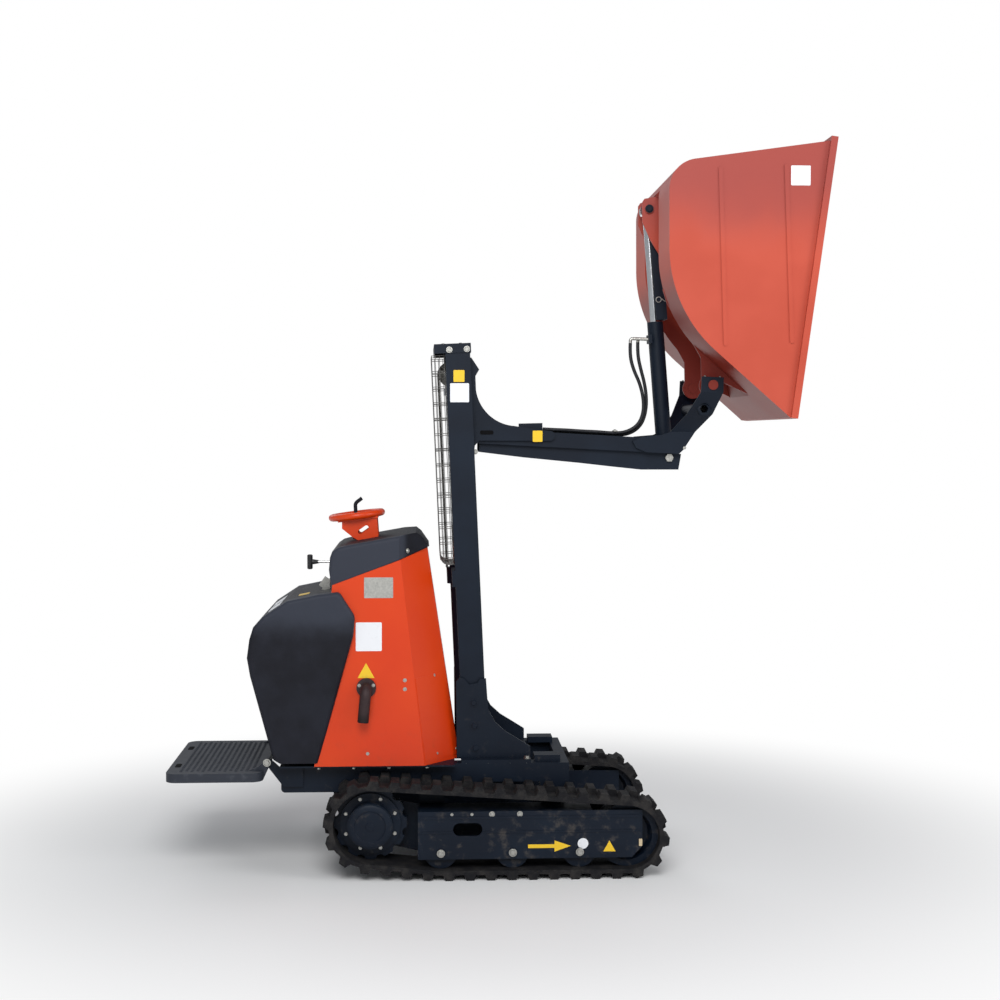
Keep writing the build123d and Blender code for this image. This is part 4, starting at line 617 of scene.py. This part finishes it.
films("mast_marks_white", "machine", white_look,
      [(rounded(0.069, 0.069, 0.003), (-0.1315, -MAST_SIDE, 1.7275), RIGHT)])

# Mesh guard
# A welded cage of thin wire behind the mast: upright wires run round its back and sides,
# held by pairs of level wires, with its foot bent in under the last pair.
wire_look = Look("guard_wire", Metallic=0.85)
wire_look.finish(colour=wire_look.mix(wire_look.noise(0.02, 4), tone(84, 84, 86), tone(140, 138, 134)),
                 roughness=0.38 + 0.2 * wire_look.noise(0.01))
wires = Tree("bent_wires", [("Radius", "Float"), ("Sides", "Int")])
lines = wires.node("GeometryNodeMeshToCurve", {}, {"Mesh": wires.given["Geometry"]})
ring = wires.node("GeometryNodeCurvePrimitiveCircle", {},
                  {"Radius": wires.given["Radius"], "Resolution": wires.given["Sides"]})
bars = wires.node("GeometryNodeCurveToMesh", {}, {"Curve": lines[0], "Profile Curve": ring[0], "Fill Caps": True})
wires.close(bars[0])


def wire_paths(name, paths, place=Matrix()):
    """A mesh of loose edges that follows the paths."""
    verts, edges = [], []
    for path in paths:
        start = len(verts)
        verts += [place @ Vector(p) for p in path]
        edges += [(i, i + 1) for i in range(start, len(verts) - 1)]
    mesh = bpy.data.meshes.new(name)
    mesh.from_pydata(verts, edges, [])
    return mesh


GUARD_BACK, GUARD_FRONT, GUARD_HALF, GUARD_LOW, GUARD_HIGH = -0.0955, -0.0465, 0.1485, 0.720, 1.490
WIRE_R, PAIR_PITCH, PAIR_GAP, UPRIGHT_PITCH = 0.0014, 0.057, 0.007, 0.0156
level = []
z = GUARD_HIGH - 0.002
while z > GUARD_LOW:
    for drop in (0, PAIR_GAP):
        level.append([(GUARD_FRONT, -GUARD_HALF, z - drop), (GUARD_BACK + 0.008, -GUARD_HALF, z - drop),
                      (GUARD_BACK, -GUARD_HALF + 0.008, z - drop), (GUARD_BACK, GUARD_HALF - 0.008, z - drop),
                      (GUARD_BACK + 0.008, GUARD_HALF, z - drop), (GUARD_FRONT, GUARD_HALF, z - drop)])
    z -= PAIR_PITCH
uprights = []
FOOT_R = 0.030
count = round(2 * (GUARD_HALF - 0.010) / UPRIGHT_PITCH)
for k in range(count + 1):
    y = -GUARD_HALF + 0.010 + 2 * (GUARD_HALF - 0.010) * k / count
    foot = [(GUARD_BACK + FOOT_R * (1 - cos(a)), y, GUARD_LOW + FOOT_R * (1 - sin(a)))
            for a in (radians(15 * s) for s in range(7))]
    uprights.append([(GUARD_BACK, y, GUARD_HIGH), *foot, (GUARD_FRONT, y, GUARD_LOW)])
for side in (-1, 1):
    for x in (GUARD_BACK + 0.013, GUARD_BACK + 0.028, GUARD_FRONT - 0.004):
        uprights.append([(x, side * GUARD_HALF, GUARD_HIGH), (x, side * GUARD_HALF, GUARD_LOW + 0.004)])
guard = wires.grow("guard_wires", wire_paths("guard_paths", level + uprights, mast), wire_look, "steel_wire",
                   "machine", 1.2, Radius=WIRE_R, Sides=6)
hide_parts("mast_guard")

# Lift ram and leaf chain
# The ram's tube stands on the foot plate. Its rod carries a pulley, and the leaf chain runs
# from the tie over it to the carriage, so that the carriage moves twice as far.
wear(black_look, "lift_tube")
chrome_look = Look("chrome_rod", Metallic=1.0)
smear = chrome_look.noise(0.012, 4, stretch=(1, 1, 0.2))
chrome_look.finish(colour=chrome_look.mix(smear, tone(205, 208, 212), tone(228, 230, 232)),
                   roughness=0.10 + 0.12 * smear)
wear(chrome_look, "lift_rod")
oiled_look = Look("oiled_steel", Metallic=0.9)
grease = oiled_look.step(oiled_look.noise(0.012, 4), 0.4, 0.7)
oiled_look.finish(colour=oiled_look.mix(grease, tone(96, 95, 92), tone(44, 42, 40)),
                  roughness=0.32 + 0.25 * grease)
wear(oiled_look, "lift_pulley", "carriage_rollers")

CHAIN_PITCH, LINK_HALF, PLATE, ROWS_WIDE = 0.0127, 0.0045, 0.0017, 8


def link_part():
    """One link of leaf chain: every other plate joins this pin to the next, along local X."""
    shape = bmesh.new()
    end = [(LINK_HALF * sin(radians(30 * k)), LINK_HALF * cos(radians(30 * k))) for k in range(7)]
    outline = [(CHAIN_PITCH + u, v) for u, v in end] + [(-u, -v) for u, v in end]
    for k in range(0, ROWS_WIDE, 2):
        slab(shape, outline, Matrix.Translation((0, 0, (k - ROWS_WIDE / 2) * PLATE)), PLATE * 0.92)
    turned(shape, ((0, -0.0088), (0.0022, -0.0088), (0.0022, 0.0088), (0, 0.0088)), Matrix(), 8)
    return shape


def chain(name, pins, body):
    """Leaf chain along its pins, which lie on the mast's middle plane."""
    rows = []
    for k, (here, there) in enumerate(zip(pins, pins[1:])):
        side = 1 if k % 2 else -1
        run = mast.to_3x3() @ (Vector(there) - Vector(here))
        rows.append((tuple(mast @ Vector(here)), (0, side, 0), tuple(run), 1.0))
    return set_out(name, link_part(), rows, oiled_look, "bare_steel", body, 0.5)


RAM_X, PULLEY_UP, CHAIN_R = -0.027, 1.421, 0.045
ANCHOR_UP, CARRIAGE_UP = 0.702, 1.264
rear_links = round((PULLEY_UP - ANCHOR_UP) / CHAIN_PITCH)
front_links = round((PULLEY_UP - CARRIAGE_UP) / CHAIN_PITCH)
top_links = round(pi * CHAIN_R / CHAIN_PITCH)
rear_chain = chain("chain_rear", [(RAM_X - CHAIN_R, 0, ANCHOR_UP + (PULLEY_UP - ANCHOR_UP) * k / rear_links)
                                  for k in range(rear_links + 1)], None)
front_chain = chain("chain_front", [(RAM_X + CHAIN_R, 0, CARRIAGE_UP + (PULLEY_UP - CARRIAGE_UP) * k / front_links)
                                    for k in range(front_links + 1)], None)
top_chain = chain("chain_top", [(RAM_X - CHAIN_R * cos(pi * k / top_links), 0,
                                 PULLEY_UP + CHAIN_R * sin(pi * k / top_links))
                                for k in range(top_links + 1)], "lift_ram")
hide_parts("lift_chain_rear")
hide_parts("lift_chain_front")
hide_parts("lift_chain_top")
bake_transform(rear_chain)
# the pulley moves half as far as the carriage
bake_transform(front_chain)

# Engine hood
# Folded orange sheet with an angled front corner each side; the engine block hides behind
# it. A lower front panel lies on each angled face, held by small bolts.
orange_look = Look("orange_paint", Specular_IOR_Level=0.3, Coat_Roughness=0.2)
orange_patch = orange_look.noise(0.35, 3)
fleck = orange_look.step(orange_look.noise(0.0035, 2), 0.72, 0.80)
road = (orange_look.step(orange_look.noise(0.03, 6, 0.6), 0.5, 0.8)
        * orange_look.step(orange_look.along("Z"), 0.62, 0.38))
sound = orange_look.mix(orange_look.step(orange_patch, 0.3, 0.7), tone(203, 52, 0), tone(209, 60, 0))
orange_look.finish(colour=orange_look.mix(0.10 * fleck + 0.22 * road, sound, tone(120, 66, 44)),
                   roughness=0.34 + 0.10 * orange_patch + 0.2 * road, height=orange_look.noise(0.0026), relief=0.00012)
orange_look.shader.inputs["Coat Weight"].default_value = 0.15
wear(orange_look, "engine_hood")
iron_look = Look("engine_iron", Metallic=0.4)
iron_look.finish(colour=iron_look.mix(iron_look.noise(0.02, 4), tone(60, 60, 62), tone(88, 86, 82)), roughness=0.7,
                 height=iron_look.noise(0.003), relief=0.0008)
wear(iron_look, "engine_block")

# z, x of the crease, x of the front edge, half width at the crease and at the front edge
HOOD_LOW, HOOD_HIGH = (0.386, -0.2625, -0.1346, 0.306, 0.160), (1.170, -0.3528, -0.2514, 0.272, 0.142)


def hood_corner(z, along):
    """A place on the right angled face: 0 at the crease, 1 at the front edge."""
    share = (z - HOOD_LOW[0]) / (HOOD_HIGH[0] - HOOD_LOW[0])
    _, crease, front, half, nose = [a + share * (b - a) for a, b in zip(HOOD_LOW, HOOD_HIGH)]
    return Vector((crease + along * (front - crease), -half - along * (nose - half), z))


def hood_side(x, z):
    """A place on the hood's right side."""
    return (x, hood_corner(z, 0).y, z)


crease_run, across_run = hood_corner(0.8, 0) - hood_corner(0.5, 0), hood_corner(0.5, 1) - hood_corner(0.5, 0)
HOOD_RIGHT = tuple(crease_run.cross(Vector((-1, 0, 0))).normalized())
HOOD_CORNER = tuple(across_run.cross(crease_run).normalized())
bolts("hood_bolts", both_sides([(hood_side(x, z), HOOD_RIGHT, r) for x, z, r in
                                ((-0.332, 0.693, 0.0052), (-0.332, 0.661, 0.0052), (-0.466, 0.431, 0.0045))]
                               + [(tuple(hood_corner(z, along)), HOOD_CORNER, 0.0050) for z, along in
                                  ((0.697, 0.62), (0.419, 0.40), (0.421, 0.955))]), "machine", tall=0.4)
panels = bmesh.new()
PANEL = 0.0012
for side in (-1, 1):
    corners = [hood_corner(z, along) + Vector(HOOD_CORNER) * lift
               for lift in (0, PANEL) for z, along in ((0.400, 0.03), (0.400, 0.97), (0.703, 0.97), (0.699, 0.03))]
    ring_verts = [panels.verts.new((p.x, side * -p.y, p.z)) for p in corners]
    for a, b, c, d in ((0, 1, 2, 3), (4, 5, 6, 7), (0, 1, 5, 4), (1, 2, 6, 5), (2, 3, 7, 6), (3, 0, 4, 7)):
        panels.faces.new([ring_verts[i] for i in (a, b, c, d)])
made_piece("hood_front_panels", panels, orange_look, "machine")
films("hood_plate", "machine", bolt_look,
      [(rounded(0.104, 0.074, 0.003), hood_side(-0.4255, 1.0255), HOOD_RIGHT)])
films("hood_marks_white", "machine", white_look,
      [(rounded(0.093, 0.103, 0.004), hood_side(-0.461, 0.850), HOOD_RIGHT),
       (disc(0.0255), tuple(hood_corner(0.476, 0.84)), HOOD_CORNER)])
films("hood_marks_yellow", "machine", yellow_look,
      [([(1.38 * u, 1.38 * v) for u, v in TRIANGLE], hood_side(-0.471, 0.727), HOOD_RIGHT)])

# Exhaust
# A short bent tail pipe through the hood's right side with its flange, browned by heat and
# black with soot inside.
exhaust_look = Look("exhaust_steel", Metallic=0.55)
scale = exhaust_look.noise(0.012, 5, 0.65)
soot = exhaust_look.step(exhaust_look.along("Z") + 0.01 * scale, 0.60, 0.56)
browned = exhaust_look.mix(scale, tone(38, 27, 29), tone(72, 56, 57))
exhaust_look.finish(colour=exhaust_look.mix(0.8 * soot, browned, tone(22, 18, 18)),
                    roughness=0.46 + 0.3 * scale, height=scale, relief=0.0004)
wear(exhaust_look, "exhaust")
FLANGE_X, FLANGE_Z, FLANGE_BOLT_R = -0.470, 0.668, 0.027
bolts("flange_bolts", [((FLANGE_X + FLANGE_BOLT_R * cos(a), -0.304, FLANGE_Z + FLANGE_BOLT_R * sin(a)), RIGHT, 0.0045)
                       for a in (radians(20), radians(160), radians(270))], "machine")

# Moulded covers
# The rear cover and the console are rotomoulded black plastic with a fine leather grain, and
# a painted sheen lightens their upper sides.
plastic_look = Look("black_plastic", Specular_IOR_Level=0.22)
grain = plastic_look.cells(0.0024)
cloud = plastic_look.noise(0.12, 4)
handled = plastic_look.step(plastic_look.noise(0.02, 6) + 0.4 * cloud, 0.7, 1.0)
# painted sheen: the sides' upper parts, not the lit top face, are lightened to stand in for a sheen
painted_sheen = (plastic_look.step(plastic_look.along("Z") + 0.08 * cloud, 0.87, 0.98)
              * plastic_look.step(abs(plastic_look.along("Y")), 0.235, 0.262))
moulded = plastic_look.mix(plastic_look.step(cloud, 0.3, 0.7), tone(12, 13, 22), tone(24, 26, 36))
plastic_look.finish(colour=plastic_look.mix(0.9 * painted_sheen, moulded, tone(50, 54, 65)),
                    roughness=0.52 + 0.12 * cloud - 0.1 * handled, height=grain, relief=0.0005)
wear(plastic_look, "rear_cover", "console_cover", "joystick")
COVER_SLOPE = (-0.548, 0, 0.837)
films("cover_labels", "machine", white_look,
      [(rounded(0.150, 0.052, 0.006), (-0.803, y, 0.9485), COVER_SLOPE) for y in (-0.165, 0.03)])
films("cover_label_yellow", "machine", yellow_look,
      [(rounded(0.060, 0.040, 0.005), (-0.700, -0.150, 0.9918), (-0.198, 0, 0.980))])
console_bolt = hood_corner(1.1557, 0.27) + Vector((0.002, -0.004, 0))
bolts("console_bolts", both_sides([(tuple(console_bolt), HOOD_CORNER, 0.0068)]), "machine")

# Controls
# A welded orange hand ring over the stick, on a folded bracket; the T-lever has a bright
# stem, and a toggle latch holds the rear cover down.
wear(orange_look, "hand_ring", "ring_bracket")
lever_look = Look("lever", Specular_IOR_Level=0.4)
stem = lever_look.step(lever_look.along("X"), -0.6495, -0.6485)
lever_look.finish(colour=lever_look.mix(stem, tone(30, 30, 33), tone(205, 205, 204)), roughness=0.42 - 0.22 * stem,
                  metallic=stem, height=lever_look.noise(0.002), relief=0.00008)
wear(lever_look, "tee_lever")
wear(bolt_look, "latch")
bolts("ring_bolts", both_sides([((x, -0.060, z), RIGHT, 0.0058) for x, z in
                                ((-0.470, 1.2145), (-0.452, 1.2150), (-0.478, 1.1995))]), "machine")

# Carriage and boom
# Flame-cut arms run on rollers inside the rails and carry two box-section beams with a
# folded channel under them.
wear(black_look, "carriage_arms", "boom_beams", "boom_channel", "hose_box", "knuckle", "transport_tube")
wear(bolt_look, "base_pin")
arm_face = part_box("carriage_arms")[0].y
films("boom_marks_yellow", "boom", yellow_look,
      [(rounded(0.036, 0.041, 0.003), (0.1571, arm_face, 1.569), RIGHT)])
bolts("boom_bolts", both_sides([((-0.073, arm_face, 1.512), RIGHT, 0.0075),
                                ((0.703, arm_face, 1.526), RIGHT, 0.0045)]), "boom")
pads = bmesh.new()
for side in (-1, 1):
    slab(pads, rounded(0.049, 0.0145, 0.006), facing((-0.0305, side * abs(arm_face), 1.583), (0, side, 0)), 0.003)
made_piece("arm_pads", pads, dark_look, "boom")
# collars round the transport tube's ends and two set screws on each pivot bracket
collars = bmesh.new()
TUBE_X, TUBE_Z, TUBE_END = 0.762, 1.669, 0.200
for side in (-1, 1):
    turned(collars, ((0.0158, -0.004), (0.027, -0.004), (0.027, 0.006), (0.0235, 0.008), (0.0158, 0.008),
                     (0.0158, -0.004)), facing((TUBE_X, side * TUBE_END, TUBE_Z), (0, side, 0)), 6)
made_piece("tube_collars", collars, black_look, "boom")
bolts("bracket_screws", both_sides([((x, -0.246, z), UP, 0.0038) for x, z in ((0.757, 1.785), (0.812, 1.7825))]),
      "boom", washer=1.0, tall=1.0)
# clamp that holds both hoses down on the boom
clamp = bmesh.new()
CLAMP_X, CLAMP_Y, CLAMP_LOW, CLAMP_T = 0.4536, -0.043, 1.5875, 0.004
slab(clamp, rounded(0.016, 0.040, 0.003), facing((CLAMP_X, CLAMP_Y, CLAMP_LOW), UP, (0, 1, 0)), CLAMP_T)
made_piece("hose_clamp", clamp, bolt_look, "boom")
bolts("hose_clamp_bolt", [((CLAMP_X, CLAMP_Y, CLAMP_LOW + CLAMP_T), UP, 0.0045)], "boom")

# Skip
# A pressed and welded steel tub with a rolled rim, belly ribs and two ears for the cylinder.
# Its orange coat is paler than the hood's, which is painted glare, with chalky mottling;
# painted shade darkens its top and its belly.
skip_look = Look("skip_paint", Specular_IOR_Level=0.3)
chalk = skip_look.noise(0.30, 3)
speck = skip_look.step(skip_look.noise(0.004, 2), 0.70, 0.80)
# the coat's two tones are a paler copy of the hood's orange, which is painted glare; the chalk noise mottles them
coat = skip_look.mix(skip_look.step(chalk, 0.3, 0.7), tone(178, 70, 50), tone(188, 78, 58))
# painted shade: the coat turns darker towards the skip's top
top_shaded = skip_look.mix(skip_look.step(skip_look.along("Z") + 0.3 * chalk, 2.35, 2.65), coat, tone(154, 66, 58))
# painted shade on the belly, which faces down and away from the lamps; the |Y| step keeps it off the side panels
below = skip_look.step(0.66 * skip_look.along("X") + 0.75 * skip_look.along("Z"), 2.03, 1.95)
painted_belly_shade = below * skip_look.step(abs(skip_look.along("Y")), 0.4345, 0.4315)
painted = skip_look.mix(0.8 * painted_belly_shade, top_shaded, tone(104, 24, 16))
skip_look.finish(colour=skip_look.mix(0.10 * speck, painted, tone(222, 130, 106)),
                 roughness=0.40 + 0.12 * chalk, height=skip_look.noise(0.0026), relief=0.00014)
wear(skip_look, "skip_shell", "skip_ribs", "skip_pins")
bolts("eye_pin_heads", both_sides([((0.577, -0.070, 2.414), RIGHT, 0.0125)]), "skip", black_look, "black_paint",
      washer=1.25, tall=0.35)
ear_bosses = bmesh.new()
for side in (-1, 1):
    turned(ear_bosses, ((0, -0.001), (0.0105, -0.001), (0.0105, 0.004), (0.008, 0.006), (0, 0.006)),
           facing((0.637, side * 0.062, 2.414), (0, side, 0)), 24)
made_piece("ear_bosses", ear_bosses, skip_look, "skip")
skip_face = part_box("skip_shell")[0].y + 0.015
films("skip_marks_white", "skip", white_look,
      [(rounded(0.069, 0.069, 0.003), (1.0583, skip_face, 2.4819), RIGHT)])

# Tip cylinder
# A painted tube with a chromed rod. The base pin is bolted in the channel, and the elbows
# on the port block are bright steel.
wear(black_look, "tip_cylinder_tube")
wear(chrome_look, "tip_cylinder_rod")
wear(bolt_look, "hose_elbows", "eye_pin")

# Safety prop
# A folded channel that hangs from the rod's eye and drops over the rod to lock the skip up,
# with its lock pin on a short chain.
wear(black_look, "safety_prop")
PIN_AT = Vector((0.617, -0.0405, 2.080))
lock = [PIN_AT + Vector((0.010 * cos(a), -0.0030, 0.010 * sin(a))) for a in (2 * pi * k / 16 for k in range(17))]
ball_chain = [PIN_AT + Vector((0.012 + 0.0045 * k, -0.0025, 0.004 - 0.010 * sin(pi * k / 6))) for k in range(7)]
wires.grow("prop_pin", wire_paths("prop_pin_paths", [lock, ball_chain]), bolt_look, "bare_steel", "prop", 1.2,
           Radius=0.0016, Sides=8)
